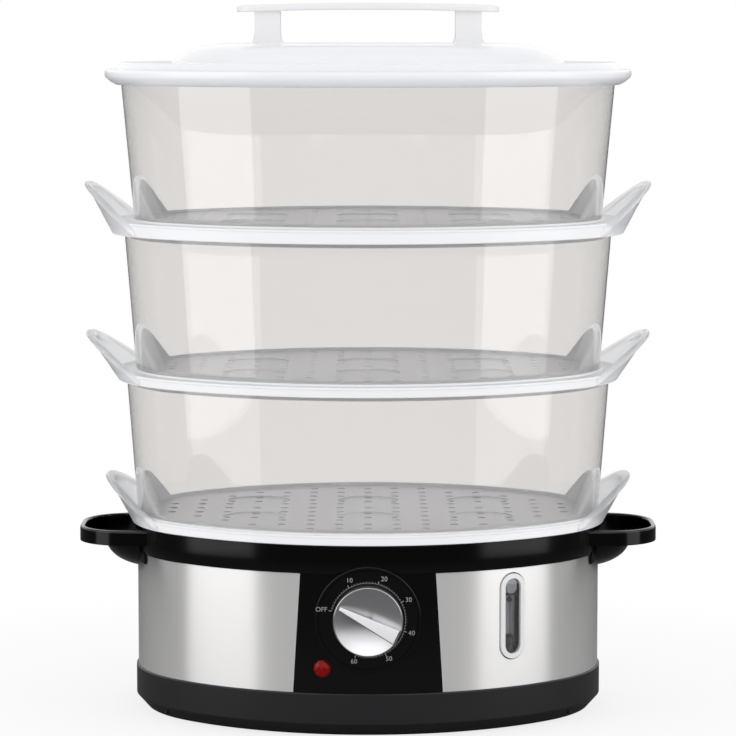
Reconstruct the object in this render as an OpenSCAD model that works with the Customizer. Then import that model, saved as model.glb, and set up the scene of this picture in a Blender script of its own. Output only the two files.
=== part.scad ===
// Electric food steamer: an oval base with a water tank, heater and timer, and three clear
// tiers on white floor trays under a domed lid. Millimetres, +Z up, front towards -Y.
// The origin is on the table, under the middle of the base.
//
// Every wall follows one four-arc oval. An offset is measured square to that oval: 0 is the
// reference line at the foot of the clear walls, positive is outside it.

/* [Oval outline] */
// Half length of the reference oval
half_long = 134; // [128:0.5:140]
// Half depth of the reference oval
half_short = 102; // [98:0.5:106]
// Radius of the two end arcs
end_r = 82; // [79:0.5:85]

/* [Base housing] */
// Height of the feet under the base
foot_h = 1.5; // [1:0.1:4]
// Radius of a foot
foot_r = 7.5; // [5:0.1:9]
// Distance of the feet from the middle, along the base
foot_x = 77; // [60:1:80]
// Distance of the feet from the middle, across the base
foot_y = 57; // [40:1:60]
// Offset of the skirt's outside
skirt_out = -0.3; // [-1:0.1:1]
// Offset of the skirt's bottom edge
skirt_foot = -6.5; // [-9:0.1:-4]
// Height of the skirt's sloping part
slope_h = 7; // [4:0.1:10]
// Height of the skirt, without the feet
skirt_h = 24; // [20:0.5:28]
// Thickness of the housing's walls
shell = 2.2; // [1.6:0.1:3]
// Height of the steel band
steel_h = 68; // [60:0.5:76]
// Offset of the steel band's outside
steel_out = -1.4; // [-2:0.1:-1]
// Thickness of the steel sheet
steel_t = 0.8; // [0.5:0.1:1]
// Thickness of the bottom plate
plate_t = 2.2; // [1.6:0.1:3]
// Gap between pieces that are fitted together and stay put
fit_gap = 0.1; // [0.05:0.01:0.2]

/* [Rim and fill handles] */
// Height of the black rim above the steel
rim_h = 16; // [13:0.5:20]
// Thickness of the rim's wall
rim_t = 4; // [3:0.1:5]
// Reach of a handle's tip from the middle
handle_reach = 166; // [158:1:172]
// Half width of a handle
handle_half = 37; // [30:1:42]
// Corner radius of a handle
handle_corner = 22; // [14:1:26]
// Height of a handle's wall
handle_h = 10.6; // [8:0.2:12]
// Drop of a handle's top below the rim's top
handle_drop = 1.8; // [0:0.1:3]
// Thickness of a handle's wall
handle_t = 3; // [2:0.1:4]
// Radius of the bowl under a handle
bowl_r = 41.4; // [36:0.2:46]
// Distance of the bowl's centre from the middle
bowl_x = 126; // [118:0.5:132]
// Drop of the bowl's lowest point below the handle
bowl_drop = 8.4; // [5:0.1:10]
// Half width of the fill opening through the rim
fill_half = 20; // [12:1:24]
// Height of the fill opening
fill_h = 5.5; // [4.2:0.1:6]
// Drop of the rim's end aprons over the steel
apron_drop = 5.5; // [3:0.1:8]
// Half width of an end apron
apron_half = 32; // [26:1:36]

/* [Water tank] */
// Offset of the tank's mouth
tank_mouth = -36; // [-42:0.5:-34]
// Offset of the tank's floor edge
tank_foot = -40; // [-46:0.5:-38]
// Height of the tank's floor above the table
tank_floor_z = 42; // [36:0.5:48]
// Thickness of the tank's walls
tank_t = 2; // [1.6:0.1:3]
// Width of the flat ledge round the tank's deck
ledge_w = 10; // [6:0.5:14]

/* [Heater] */
// Radius of the heater's flange
heater_flange_r = 34; // [30:0.5:38]
// Radius of the heater's body
heater_body_r = 25; // [20:0.5:27]
// Depth of the heater's body below its flange
heater_body_h = 11; // [8:0.5:14]
// Radius of the circle of heater screws
heater_bolt_r = 30; // [28.5:0.1:31]
// Thickness of the sealing ring
gasket_t = 1.5; // [1:0.1:2.5]
// Radius of the thermostat
thermostat_r = 8.5; // [7:0.1:10]
// Height of the thermostat
thermostat_h = 7; // [5:0.1:9]
// Outside radius of the steam ring round the heater
ring_r = 44; // [40:0.5:48]
// Height of the steam ring
ring_h = 34; // [24:1:44]
// Thickness of the steam ring's wall
ring_t = 1.8; // [1.2:0.1:3]
// Number of slots at the steam ring's foot
ring_slots = 12; // [6:1:16]

/* [Control panel] */
// Half width of the panel at its top
panel_top_half = 37.3; // [32:0.1:42]
// Half width of the panel at its bottom
panel_low_half = 41.4; // [34:0.1:46]
// Offset of the panel's face
panel_out = -0.7; // [-1.2:0.1:0]
// Width of the housing's wall that backs the panel's edge
panel_lap = 4; // [3:0.1:5]
// Height of the dial's centre above the table
dial_z = 67; // [64:0.5:70]
// Radius of the dial plate
dial_r = 29.2; // [26:0.1:31]
// Stand of the dial plate's face in front of the panel
dial_stand = 1.9; // [1:0.1:3]
// Radius of the knob
knob_r = 19.25; // [16:0.25:21]
// Depth of the knob from back to front
knob_depth = 13; // [10:0.5:13.5]
// Depth of the knob's round base
knob_base = 5.5; // [4:0.1:7]
// Half width of the knob's grip at its pointer end
grip_narrow = 1.6; // [1:0.1:3]
// Half width of the knob's grip at its wide end
grip_wide = 4.4; // [3:0.1:6]
// Running gap between the knob and the dial plate
knob_gap = 0.8; // [0.4:0.1:1.5]
// Angle of the knob's pointer as it stands, anticlockwise from the right
knob_angle = 154; // [150:1:175]
// Radius of the timer's shaft
shaft_r = 3; // [2.5:0.1:3.5]
// Running gap round the shaft
shaft_gap = 0.05; // [0.02:0.01:0.09]
// Half width of the timer
timer_half = 23; // [20:0.5:27]
// Height of the timer
timer_h = 41; // [34:1:44]
// Depth of the timer
timer_depth = 24; // [18:0.5:26]
// Gap between the panel's back and the timer, which its bosses bridge
timer_stand = 4.7; // [4:0.1:6]
// Distance of the timer's screws from the dial's centre
timer_bolt_x = 16; // [13:0.5:19]
// Distance of the lamp from the dial's centre, to the left
lamp_dx = 25.1; // [24:0.1:30]
// Drop of the lamp below the dial's centre
lamp_dz = 27.6; // [26.8:0.1:34]
// Radius of the lamp's lens
lamp_r = 4.9; // [3.5:0.1:5]
// Length of the lamp's holder
lamp_len = 15; // [8:0.5:18]

/* [Water gauge] */
// Distance of the gauge from the middle, along the base
gauge_x = 80.3; // [76:0.1:84]
// Width of the gauge window
gauge_w = 15.6; // [13:0.1:18]
// Height of the gauge window
gauge_h = 47.8; // [40:0.1:52]
// Height of the gauge's centre above the table
gauge_z = 65.1; // [62:0.1:66]
// Depth of the gauge chamber
gauge_depth = 11; // [9:0.1:12]
// Thickness of the gauge's walls
gauge_wall = 2; // [1.5:0.1:2.4]
// Height of the float's straight side
float_h = 8; // [6:0.5:12]
// Running gap round the float
float_gap = 0.4; // [0.3:0.1:1]
// Outside radius of the gauge hoses
hose_r = 4; // [3.5:0.1:4.5]

/* [Cord inlet] */
// Radius of the hole for the cord
cord_hole_r = 3.6; // [3:0.1:4]
// Radius of the gland's barrel
gland_r = 6; // [5.4:0.1:7]
// Height of the gland's centre above the table
gland_z = 15; // [13.5:0.1:16]
// Length of the gland inside the housing
gland_in = 9; // [6:0.5:12]

/* [Drip tray] */
// Depth of the drip tray's edge
drip_h = 5.5; // [4:0.1:7]
// Thickness of the drip tray
drip_t = 1.6; // [1.2:0.1:2.4]
// Stand of the drip tray above the tank's deck
drip_stand = 2; // [1:0.1:3]
// Offset of the drip tray's outside
drip_out = -7.4; // [-9:0.1:-7.2]
// Offset of the steam collar in the drip tray
collar_at = -64; // [-68:0.5:-58]
// Height of the steam collar
collar_h = 7.5; // [5:0.1:8.5]

/* [Tiers] */
// Height of clear wall that shows in a tier
wall_show = 75.6; // [60:0.1:90]
// Thickness of the clear walls
wall_t = 2.2; // [1.6:0.1:2.6]
// Offset of the first wall's foot
wall_1_foot = -1.6; // [-2.2:0.1:-1.2]
// Offset of the first wall's top
wall_1_top = 4.4; // [3.6:0.1:4.6]
// Offset of the second wall's foot
wall_2_foot = -1.2; // [-1.8:0.1:-0.6]
// Offset of the second wall's top
wall_2_top = 5.4; // [4.8:0.1:6]
// Offset of the third wall's foot
wall_3_foot = -0.6; // [-1.2:0.1:0]
// Offset of the third wall's top
wall_3_top = 6.6; // [6:0.1:7]
// Gap between a clear wall and the tray or lid that locates it
wall_gap = 0.5; // [0.3:0.1:0.8]
// Offset of the first tray's outside
tray_1_out = 1.8; // [1:0.1:2.6]
// Offset of the second tray's outside
tray_2_out = 9.5; // [8.6:0.1:10.5]
// Offset of the third tray's outside
tray_3_out = 12.3; // [11:0.1:13]
// Height of the first tray, from its ring to its floor
tray_1_h = 6.5; // [5.5:0.1:8]
// Height of the second tray, from its ring to its floor
tray_2_h = 6.5; // [5.5:0.1:8]
// Height of the third tray, from its ring to its floor
tray_3_h = 9.8; // [7:0.1:11]
// Thickness of the trays
tray_t = 2.2; // [1.8:0.1:2.6]
// Radius of the holes in the tray floors
hole_r = 2.6; // [2.1:0.1:3.2]
// Spacing of the holes in the tray floors
hole_pitch = 16; // [14:0.5:22]
// Radius of the egg rests in the tray floors
egg_r = 18; // [15:0.5:20]
// Depth of the egg rests
egg_deep = 0.9; // [0.4:0.1:1.2]

/* [Tray wings and fins] */
// Rise of a wing's tip above the tray's floor
wing_rise = 19.5; // [14:0.5:24]
// Radius of a wing's outline
wing_r = 68; // [60:1:80]
// Offset of the first tray's wing tips
wing_1_tip = 15.6; // [12:0.1:18]
// Offset of the second tray's wing tips
wing_2_tip = 26.4; // [22:0.1:29]
// Offset of the third tray's wing tips
wing_3_tip = 26.4; // [22:0.1:29]
// Thickness of the wings
wing_t = 2.4; // [1.8:0.1:3]
// Rise of a fin above the tray's floor
fin_rise = 21.5; // [14:0.5:24]
// Radius of a fin's outline
fin_r = 56; // [46:1:66]
// Thickness of the fins
fin_t = 2; // [1.6:0.1:2.6]

/* [Lid] */
// Thickness of the lid
lid_t = 2.2; // [1.8:0.1:2.8]
// Offset of the lid's lip
lip_out = 15.6; // [14:0.1:17]
// Height of the lid's lip above its lower edge
lip_h = 8.6; // [7:0.1:10]
// Height of the lid's shoulder above its lower edge
shoulder_h = 12.6; // [11:0.1:14]
// Offset of the shoulder's edge
shoulder_at = 7.2; // [5:0.1:9]
// Offset of the dome's foot
dome_foot = -22; // [-28:0.5:-18]
// Height of the dome above the shoulder
dome_h = 10.8; // [8:0.1:14]
// Depth of wall that stands in the lid
lid_seat = 4; // [3:0.1:5]
// Radius of the steam vents in the lid
vent_r = 2.2; // [2.1:0.1:3]

/* [Lid handle] */
// Half length of the handle's bar
bar_half = 74.5; // [66:0.5:80]
// Width of the handle's bar
bar_w = 22; // [16:0.5:26]
// Thickness of the handle's bar
bar_t = 3.8; // [3:0.1:5]
// Height of the bar's top above the dome
bar_rise = 22.7; // [20:0.1:28]
// Radius of the bar's upward curve
bar_curve = 1900; // [1200:50:2400]
// Distance of a post's centre from the middle
post_x = 57; // [50:0.5:60]
// Half width of a post at the bar
post_half = 7.4; // [5:0.1:9]
// Flare of a post at its foot
post_flare = 2.2; // [1:0.1:3]
// Thickness of a post
post_t = 13; // [10:0.5:16]

/* [Hidden] */
$fn = 72;

// Overshoot of a cut past the faces that it goes through
past = 1;
// Segments of the long arcs
arc_fn = 240;

// The four arcs: end arcs about (+-end_c, 0), side arcs about (0, -+side_d)
end_c = half_long - end_r;
side_d = (end_c * end_c - pow(half_short - end_r, 2)) / (2 * (half_short - end_r));
side_r = half_short + side_d;
join_a = atan2(side_d, end_c);
// A far point on the line from a side arc's centre through an end arc's centre
reach = ceil(1.5 * half_short / side_d);
far_x = (reach + 1) * end_c;
far_y = reach * side_d;
// Height of the prisms that split the oval into its arcs
tall = 500;

// Heights
base_z = foot_h;
skirt_top = base_z + skirt_h;
steel_z = skirt_top - 1.6;
housing_top = steel_z + steel_h;
rim_top = housing_top + rim_h;
deck_z = housing_top + 7;
drip_z = deck_z + drip_stand;
pocket_z = deck_z + 0.2;
tank_floor_top = tank_floor_z + tank_t;
tray_1_z = rim_top;
floor_1_z = tray_1_z + tray_1_h;
tray_2_z = floor_1_z + wall_show;
floor_2_z = tray_2_z + tray_2_h;
tray_3_z = floor_2_z + wall_show;
floor_3_z = tray_3_z + tray_3_h;
lid_z = floor_3_z + wall_show;
shoulder_z = lid_z + shoulder_h;
dome_z = shoulder_z + dome_h;

// Offsets that follow from the fits
housing_out = steel_out - steel_t - fit_gap;
housing_in = housing_out - shell;
skirt_in = skirt_out - shell - 0.4;
plate_edge = skirt_foot - shell - fit_gap;
rim_out = 0;
rim_in = rim_out - rim_t;
flange_t = tray_t + 0.2;
lid_out = wall_3_top + 2.4;

// Fasteners
screw_r = 1.5;
screw_head_r = 3;
screw_head_h = 1.3;
boss_r = 4.6;
boss_h = 20;
boss_at = plate_edge - screw_head_r - 2;
boss_angles = [38, 70, 110, 142, 218, 322];

// Panel, dial and knob faces
panel_y = half_short + panel_out;
dial_y = panel_y + dial_stand;
knob_back = dial_y + knob_gap;
knob_front = knob_back + knob_depth;
panel_in = steel_out - steel_t;
panel_t = panel_out - panel_in;
timer_y = half_short + panel_in - timer_stand;
timer_boss_r = 3.4;
shaft_in = 14;
// Length of the shaft in the knob, and the depth of its flat
shaft_tip = 8;
shaft_flat = 1.35;

// Cord gland
gland_collar = 2.6;
gland_face = half_short + skirt_out + 0.6;

// Gauge
gauge_out = side_r + steel_out + 0.4;
gauge_turn = asin(gauge_x / gauge_out);
channel_half = gauge_w / 2 - gauge_wall;
port_z = [gauge_z - gauge_h / 2 + gauge_w / 2, gauge_z + gauge_h / 2 - gauge_w / 2 - 8];
port_r = 1.6;
spigot_r = hose_r - 1.5;
channel_t = 2;
channel_lip = 1.6;
float_chamfer = 1.2;
float_r = (gauge_depth - channel_lip - gauge_wall) / 2 - float_gap;
// Height at which the float's edge comes to the chamber's round lower end
float_z = gauge_z - gauge_h / 2 + gauge_w / 2 - sqrt(pow(channel_half, 2) - pow(float_r, 2)) + float_gap;

// Terminal block on the bottom plate
block_half = 12;
block_y = half_short - 40;
block_h = 11;
heater_tab_x = 16;
heater_tab_y = 8.4;

// Depths of the locating ribs below a ring or a wall's top
rim_rib = 3.5;
wall_rib = 2.5;
lid_rib = 3;

// ---------- Oval helpers ----------

// Sweeps a profile (offset, height) round the whole oval
module oval_sweep() {
    for (side = [1, -1]) {
        intersection() {
            translate([side * end_c, 0, 0]) rotate_extrude($fn = arc_fn)
                translate([end_r, 0]) children();
            translate([0, 0, -past]) linear_extrude(tall) end_region(side);
        }
        intersection() {
            translate([0, -side * side_d, 0]) rotate_extrude($fn = 2 * arc_fn)
                translate([side_r, 0]) children();
            translate([0, 0, -past]) linear_extrude(tall) side_region(side);
        }
    }
}

// The wedge of the plan that a side arc fills, from its centre through both joins
module side_region(side) {
    polygon([[0, -side * side_d], [far_x, side * far_y], [-far_x, side * far_y]]);
}

// The rest of the plan at one end, bounded by the same two lines
module end_region(side) {
    intersection_for(up = [1, -1])
        polygon([
            [0, -up * side_d], [side * far_x, up * far_y],
            [side * far_x, -up * far_x], [0, -up * far_x]
        ]);
}

// Sweeps a profile (offset, height) along part of the back (side 1) or front (side -1) arc
module side_arc(from, turn, side) {
    translate([0, -side * side_d, 0]) rotate_extrude(angle = turn, start = from, $fn = 2 * arc_fn)
        translate([side_r, 0]) children();
}

// Sweeps a profile (offset, height) along part of both end arcs
module end_arcs(half_turn) {
    for (side = [1, -1])
        translate([side * end_c, 0, 0])
            rotate_extrude(angle = 2 * half_turn, start = (side > 0 ? 0 : 180) - half_turn, $fn = arc_fn)
                translate([end_r, 0]) children();
}

// The oval's outline at an offset
module oval_2d(at) {
    join_x = end_c + (end_r + at) * cos(join_a);
    union() {
        for (side = [1, -1])
            translate([side * end_c, 0]) circle(r = end_r + at, $fn = arc_fn);
        intersection() {
            translate([0, -side_d]) circle(r = side_r + at, $fn = 2 * arc_fn);
            translate([0, side_d]) circle(r = side_r + at, $fn = 2 * arc_fn);
            square([2 * join_x, 2 * (half_short + at + past)], center = true);
        }
    }
}

module oval_plate(at, from, to) {
    translate([0, 0, from]) linear_extrude(to - from) oval_2d(at);
}

// A box by its low and high corners
module span(low, high) {
    translate(low) cube([for (i = [0:2]) high[i] - low[i]]);
}

// A cylinder along +Y from one y to another
module bar_y(x, z, r, from, to) {
    translate([x, from, z]) rotate([-90, 0, 0]) cylinder(r = r, h = to - from);
}

// Offset of a point from the reference oval, negative inside it
function offset_of(x, y) =
    let (ax = abs(x), ay = abs(y))
    ax > end_c && atan2(ay, ax - end_c) < join_a
        ? norm([ax - end_c, ay]) - end_r
        : norm([ax, ay + side_d]) - side_r;

// Point of the oval at an offset, by the direction of its normal
function oval_point(at, dir) =
    let (fold = abs(atan2(sin(dir), abs(cos(dir)))))
    fold <= join_a
        ? [sign(cos(dir)) * end_c + (end_r + at) * cos(dir), (end_r + at) * sin(dir)]
        : [(side_r + at) * cos(dir), (side_r + at) * sin(dir) - sign(sin(dir)) * side_d];

// Depth of the front at an offset, by the distance from the middle
function front_y(at, x) = sqrt(pow(side_r + at, 2) - x * x) - side_d;

// Offset of a clear wall's outside at a height above its foot
function wall_at(foot, top, enter, up) = foot + (top - foot) * up / (wall_show + enter);

// Half width of the control panel at a height
function panel_half(z) = panel_low_half + (panel_top_half - panel_low_half) * (z - steel_z) / steel_h;

// ---------- Base ----------

// Puts a shape at each boss, its +X outwards
module at_bosses(z) {
    for (dir = boss_angles)
        translate([oval_point(boss_at, dir).x, oval_point(boss_at, dir).y, z])
            rotate([0, 0, dir]) children();
}

module housing() {
    color([0.12, 0.12, 0.13]) difference() {
        union() {
            oval_sweep() polygon([
                [skirt_foot, base_z],
                [skirt_out, base_z + slope_h],
                [skirt_out, skirt_top - 0.7],
                [skirt_out - 0.6, skirt_top],
                [steel_out + fit_gap, skirt_top],
                [steel_out + fit_gap, steel_z],
                [housing_in, steel_z],
                [housing_in, steel_z - 2],
                [skirt_in, steel_z - 2 - shell],
                [skirt_in, base_z + slope_h + 1],
                [skirt_foot - shell, base_z + shell],
                [skirt_foot - shell, base_z]
            ]);
            at_bosses(base_z + plate_t) {
                cylinder(r = boss_r, h = boss_h);
                span([0, -1.2, 0], [housing_out - 0.5 - boss_at, 1.2, boss_h]);
            }
            bar_y(0, gland_z, gland_r + gland_collar, half_short + skirt_in, gland_face);
        }
        at_bosses(base_z) cylinder(r = screw_r + fit_gap, h = 16);
        bar_y(0, gland_z, gland_r + fit_gap, half_short - 12, half_short + 5);
    }
}

// The upright wall on the housing that carries the steel band, the panel and the rim
module inner_shell() {
    color([0.13, 0.13, 0.14]) difference() {
        oval_sweep() translate([housing_in, steel_z]) square([shell, steel_h]);
        panel_prism(-panel_lap, steel_z + panel_lap, housing_top - panel_lap);
        gauge_place() gauge_block(gauge_w / 2 + fit_gap, gauge_h + 2 * fit_gap, -14, 6);
    }
}

// The panel's trapezoid as a prism through the front wall, between two heights and grown by
// a margin at each side
module panel_prism(grow, low, top) {
    translate([0, -half_short + 12, 0]) rotate([90, 0, 0]) linear_extrude(30)
        polygon([
            [-panel_half(low) - grow, low], [panel_half(low) + grow, low],
            [panel_half(top) + grow, top], [-panel_half(top) - grow, top]
        ]);
}

module bottom_plate() {
    color([0.14, 0.14, 0.15]) difference() {
        oval_plate(plate_edge, base_z, base_z + plate_t);
        for (x = [-1, 1], y = [-1, 1])
            translate([x * foot_x, y * foot_y, 0]) cylinder(r = 3 + fit_gap, h = 10);
        at_bosses(0) cylinder(r = screw_r + 2 * fit_gap, h = 10);
        for (x = [-36:8:36], y = [-1, 1])
            span([x - 1.5, y * 22 - 14, 0], [x + 1.5, y * 22 + 14, 10]);
    }
}

module feet() {
    color([0.08, 0.08, 0.08])
        for (x = [-1, 1], y = [-1, 1])
            translate([x * foot_x, y * foot_y, 0]) {
                cylinder(r1 = foot_r - 0.6, r2 = foot_r, h = foot_h);
                cylinder(r = 3, h = foot_h + plate_t + 1);
            }
}

module bottom_screws() {
    color([0.7, 0.7, 0.72]) at_bosses(base_z - screw_head_h) difference() {
        union() {
            cylinder(r = screw_head_r, h = screw_head_h);
            cylinder(r = screw_r, h = screw_head_h + 13);
        }
        span([-2, -0.4, -past], [2, 0.4, 0.6]);
    }
}

// The block on the bottom plate where the cord's leads meet the inner wires
module terminal_block() {
    top = base_z + plate_t + block_h;
    color([0.88, 0.87, 0.82]) difference() {
        union() {
            span([-block_half, block_y, base_z + plate_t], [block_half, block_y + 12, top]);
            for (x = [-1, 1]) translate([x * block_half / 2, block_y + 6, top])
                cylinder(r = screw_head_r, h = 1);
        }
        for (x = [-1, 1]) bar_y(x * block_half / 2, top - 4, 1.6, block_y + 8, block_y + 13);
    }
}

module steel_wrap() {
    color([0.78, 0.77, 0.75]) difference() {
        oval_sweep() translate([steel_out - steel_t, steel_z]) square([steel_t, steel_h]);
        panel_prism(fit_gap, skirt_top, housing_top + past);
        gauge_place() gauge_block(gauge_w / 2 + fit_gap, gauge_h + 2 * fit_gap, -14, 6);
    }
}

// The black rim: a ring with an apron and a fill window at each end
module rim_band() {
    apron_x = half_long + 6;
    window_x = half_long - 4;
    color([0.06, 0.06, 0.06]) difference() {
        union() {
            oval_sweep() polygon([
                [rim_out - 0.9, housing_top],
                [rim_out - 0.3, housing_top + 2],
                [rim_out, housing_top + 8],
                [rim_out, rim_top - 0.7],
                [rim_out - 0.7, rim_top],
                [rim_in + 0.6, rim_top],
                [rim_in, rim_top - 0.6],
                [rim_in, deck_z - tank_t],
                [rim_in - 2.5, deck_z - tank_t],
                [rim_in - 2.5, deck_z - tank_t - 2],
                [rim_in, housing_top + fit_gap],
                [rim_in, housing_top]
            ]);
            intersection() {
                end_arcs(40) translate([steel_out + fit_gap, housing_top - apron_drop])
                    square([rim_out - 0.2 - steel_out - fit_gap, apron_drop + 2]);
                for (side = [1, -1])
                    translate([side * apron_x, 0, housing_top])
                        cube([120, 2 * apron_half, 4 * apron_drop], center = true);
            }
        }
        for (side = [1, -1])
            span([side * window_x - 9, -fill_half, pocket_z],
                 [side * window_x + 9, fill_half, pocket_z + fill_h]);
    }
}

// The fill handles: at each end a walled pocket with a bowl-shaped underside
module fill_handles() {
    handle_top = rim_top - handle_drop;
    handle_z = handle_top - handle_h;
    bowl_z = handle_z - bowl_drop + bowl_r;
    color([0.06, 0.06, 0.06]) difference() {
        for (side = [1, -1]) {
            translate([0, 0, handle_z]) linear_extrude(handle_h) handle_2d(side, 0);
            intersection() {
                translate([side * bowl_x, 0, bowl_z]) sphere(r = bowl_r, $fn = 96);
                translate([side * (half_long + 6), 0, handle_z])
                    cube([80, 80, 2 * bowl_drop + 4], center = true);
            }
        }
        oval_plate(rim_out + fit_gap, 0, rim_top + past);
        for (side = [1, -1])
            translate([0, 0, pocket_z]) linear_extrude(handle_h + handle_drop) handle_2d(side, handle_t);
    }
}

// A fill handle's outline from above, drawn in by a margin
module handle_2d(side, inset) {
    r = handle_corner - inset;
    half = handle_half - inset;
    tip = handle_reach - inset;
    root = half_long - 20;
    mirror([side < 0 ? 1 : 0, 0, 0]) union() {
        translate([root, -half]) square([tip - r - root, 2 * half]);
        translate([tip - r - past, -half + r]) square([r + past, 2 * (half - r)]);
        for (y = [-1, 1]) translate([tip - r, y * (half - r)]) circle(r = r);
    }
}

module water_tank() {
    floor_hole = heater_body_r + 1;
    color([0.2, 0.2, 0.21]) difference() {
        union() {
            oval_sweep() polygon([
                [rim_in - fit_gap, deck_z - tank_t],
                [rim_in - fit_gap, deck_z],
                [rim_in - fit_gap - ledge_w, deck_z],
                [tank_mouth + 1, deck_z - 1.6],
                [tank_mouth, deck_z - 3],
                [tank_foot, tank_floor_top - 0.1],
                [tank_foot - 2, tank_floor_z],
                [tank_foot + tank_t, tank_floor_z],
                [tank_mouth + tank_t, deck_z - 3 - tank_t],
                [rim_in - fit_gap - ledge_w, deck_z - tank_t]
            ]);
            oval_plate(tank_foot + 0.5, tank_floor_z, tank_floor_top);
            gauge_spigots();
        }
        translate([0, 0, tank_floor_z - past]) cylinder(r = floor_hole, h = tank_t + 2 * past);
        heater_bolts() translate([0, 0, tank_floor_z - past])
            cylinder(r = screw_r + 2 * fit_gap, h = tank_t + 2 * past);
        gauge_ports(side_r + tank_foot - 6, side_r + tank_mouth + 12);
    }
}

// The three places of the heater's screws
module heater_bolts() {
    for (dir = [30, 150, 270]) rotate([0, 0, dir]) translate([heater_bolt_r, 0, 0]) children();
}

module heater() {
    flange_z = tank_floor_top + gasket_t;
    color([0.72, 0.72, 0.73]) difference() {
        union() {
            translate([0, 0, flange_z]) cylinder(r = heater_flange_r, h = 2);
            translate([0, 0, flange_z + 2]) cylinder(r1 = heater_body_r, r2 = heater_body_r - 4, h = 4);
            translate([0, 0, flange_z - heater_body_h])
                cylinder(r = heater_body_r, h = heater_body_h + past);
            heater_bolts() translate([0, 0, flange_z + 1]) cylinder(r = 3, h = 3.5);
            for (x = [-1, 1])
                translate([x * heater_tab_x, heater_tab_y, flange_z - heater_body_h])
                    span([-3, -0.4, -7], [3, 0.4, past]);
        }
        heater_bolts() translate([0, 0, flange_z - past]) cylinder(r = screw_r + fit_gap, h = past + 3.5);
    }
}

module heater_gasket() {
    color([0.75, 0.25, 0.2]) difference() {
        translate([0, 0, tank_floor_top]) cylinder(r = heater_flange_r, h = gasket_t);
        translate([0, 0, tank_floor_top - past]) cylinder(r = heater_body_r + 1, h = gasket_t + 2 * past);
        heater_bolts() translate([0, 0, tank_floor_top - past])
            cylinder(r = screw_r + 2 * fit_gap, h = gasket_t + 2 * past);
    }
}

module heater_clamp() {
    color([0.7, 0.7, 0.7]) difference() {
        translate([0, 0, tank_floor_z - 1.5]) cylinder(r = heater_flange_r, h = 1.5);
        translate([0, 0, tank_floor_z - 3]) cylinder(r = heater_body_r + 0.4, h = 6);
        heater_bolts() translate([0, 0, tank_floor_z - 3]) cylinder(r = screw_r + 2 * fit_gap, h = 6);
    }
}

module heater_screws() {
    color([0.7, 0.7, 0.72]) heater_bolts() {
        translate([0, 0, tank_floor_z - 1.5 - screw_head_h - 1])
            cylinder(r = screw_head_r, h = screw_head_h + 1);
        translate([0, 0, tank_floor_z - 2.5]) cylinder(r = screw_r, h = 2.5 + tank_t + gasket_t + 3);
    }
}

module thermostat() {
    low = tank_floor_top + gasket_t - heater_body_h - thermostat_h;
    color([0.6, 0.55, 0.4]) union() {
        translate([0, 0, low]) cylinder(r = thermostat_r, h = thermostat_h);
        span([-thermostat_r - 5, -2.5, low + thermostat_h - 1.2],
             [thermostat_r + 5, 2.5, low + thermostat_h]);
        for (x = [-1, 1]) span([x * 5 - 0.4, -3, low - 6], [x * 5 + 0.4, 3, low + past]);
    }
}

module thermal_fuse() {
    roof = tank_floor_top + gasket_t - heater_body_h;
    color([0.85, 0.85, 0.8]) translate([0, -14, roof]) union() {
        translate([-12, 0, -2.6]) rotate([0, 90, 0]) cylinder(r = 2.2, h = 24);
        span([-3, -3, -5.4], [3, 3, 0]);
    }
}

// One insulated wire along a few points. Each run reaches a little past its bends, and every
// second run is a little thinner, so that two runs never meet with equal radii.
module wire(points) {
    wire_r = 1.1;
    last = len(points) - 2;
    for (i = [0:last]) {
        run = points[i + 1] - points[i];
        before = i > 0 ? wire_r * 0.8 : 0;
        after = i < last ? wire_r * 0.8 : 0;
        translate(points[i]) rotate([0, acos(run.z / norm(run)), atan2(run.y, run.x)])
            translate([0, 0, -before])
                cylinder(r = wire_r - (i % 2) * 0.08, h = before + norm(run) + after, $fn = 24);
    }
}

module wiring() {
    tab_z = tank_floor_top + gasket_t - heater_body_h - 7;
    stat_z = tank_floor_top + gasket_t - heater_body_h - thermostat_h - 6;
    timer_low = dial_z - timer_h / 2 - 0.2;
    block_z = base_z + plate_t + 6;
    lamp_turn = asin(lamp_dx / (side_r + panel_out));
    lamp_back = side_r + panel_out - panel_t - fit_gap - lamp_len - 0.1;
    lamp_x = -lamp_back * sin(lamp_turn);
    lamp_z = dial_z - lamp_dz;
    low_run = base_z + plate_t + 10.3;
    high_run = low_run + 6;
    plug_y = timer_y - timer_depth / 2 - 1.1;
    behind_y = timer_y - timer_depth - 11.1;
    color([0.85, 0.85, 0.85]) {
        wire([
            [block_half / 2, block_y - 0.1, block_z], [block_half / 2, block_y - 4, block_z],
            [heater_tab_x, block_y - 16, low_run],
            [heater_tab_x, heater_tab_y, low_run], [heater_tab_x, heater_tab_y, tab_z - 0.2]
        ]);
        wire([
            [-block_half / 2, block_y - 0.1, block_z], [-block_half / 2, block_y - 4, block_z],
            [-7, block_y - 22, low_run - 2], [-5, 0, low_run - 2], [-5, 0, stat_z - 0.2]
        ]);
        wire([
            [-heater_tab_x, heater_tab_y, tab_z - 0.2], [-heater_tab_x, heater_tab_y, high_run],
            [-18, -behind_y, high_run], [-15, -plug_y, high_run + 10], [-15, -plug_y, timer_low]
        ]);
        wire([
            [5, 0, stat_z - 0.2], [5, 0, high_run - 2], [8, -behind_y, high_run],
            [12, -plug_y, high_run + 10], [12, -plug_y, timer_low]
        ]);
        wire([
            [lamp_x, side_d - lamp_back * cos(lamp_turn), lamp_z],
            [lamp_x + 1, 5 - plug_y, lamp_z], [2 - timer_half, 5 - plug_y, timer_low]
        ]);
    }
}

// ---------- Timer and controls ----------

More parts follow.
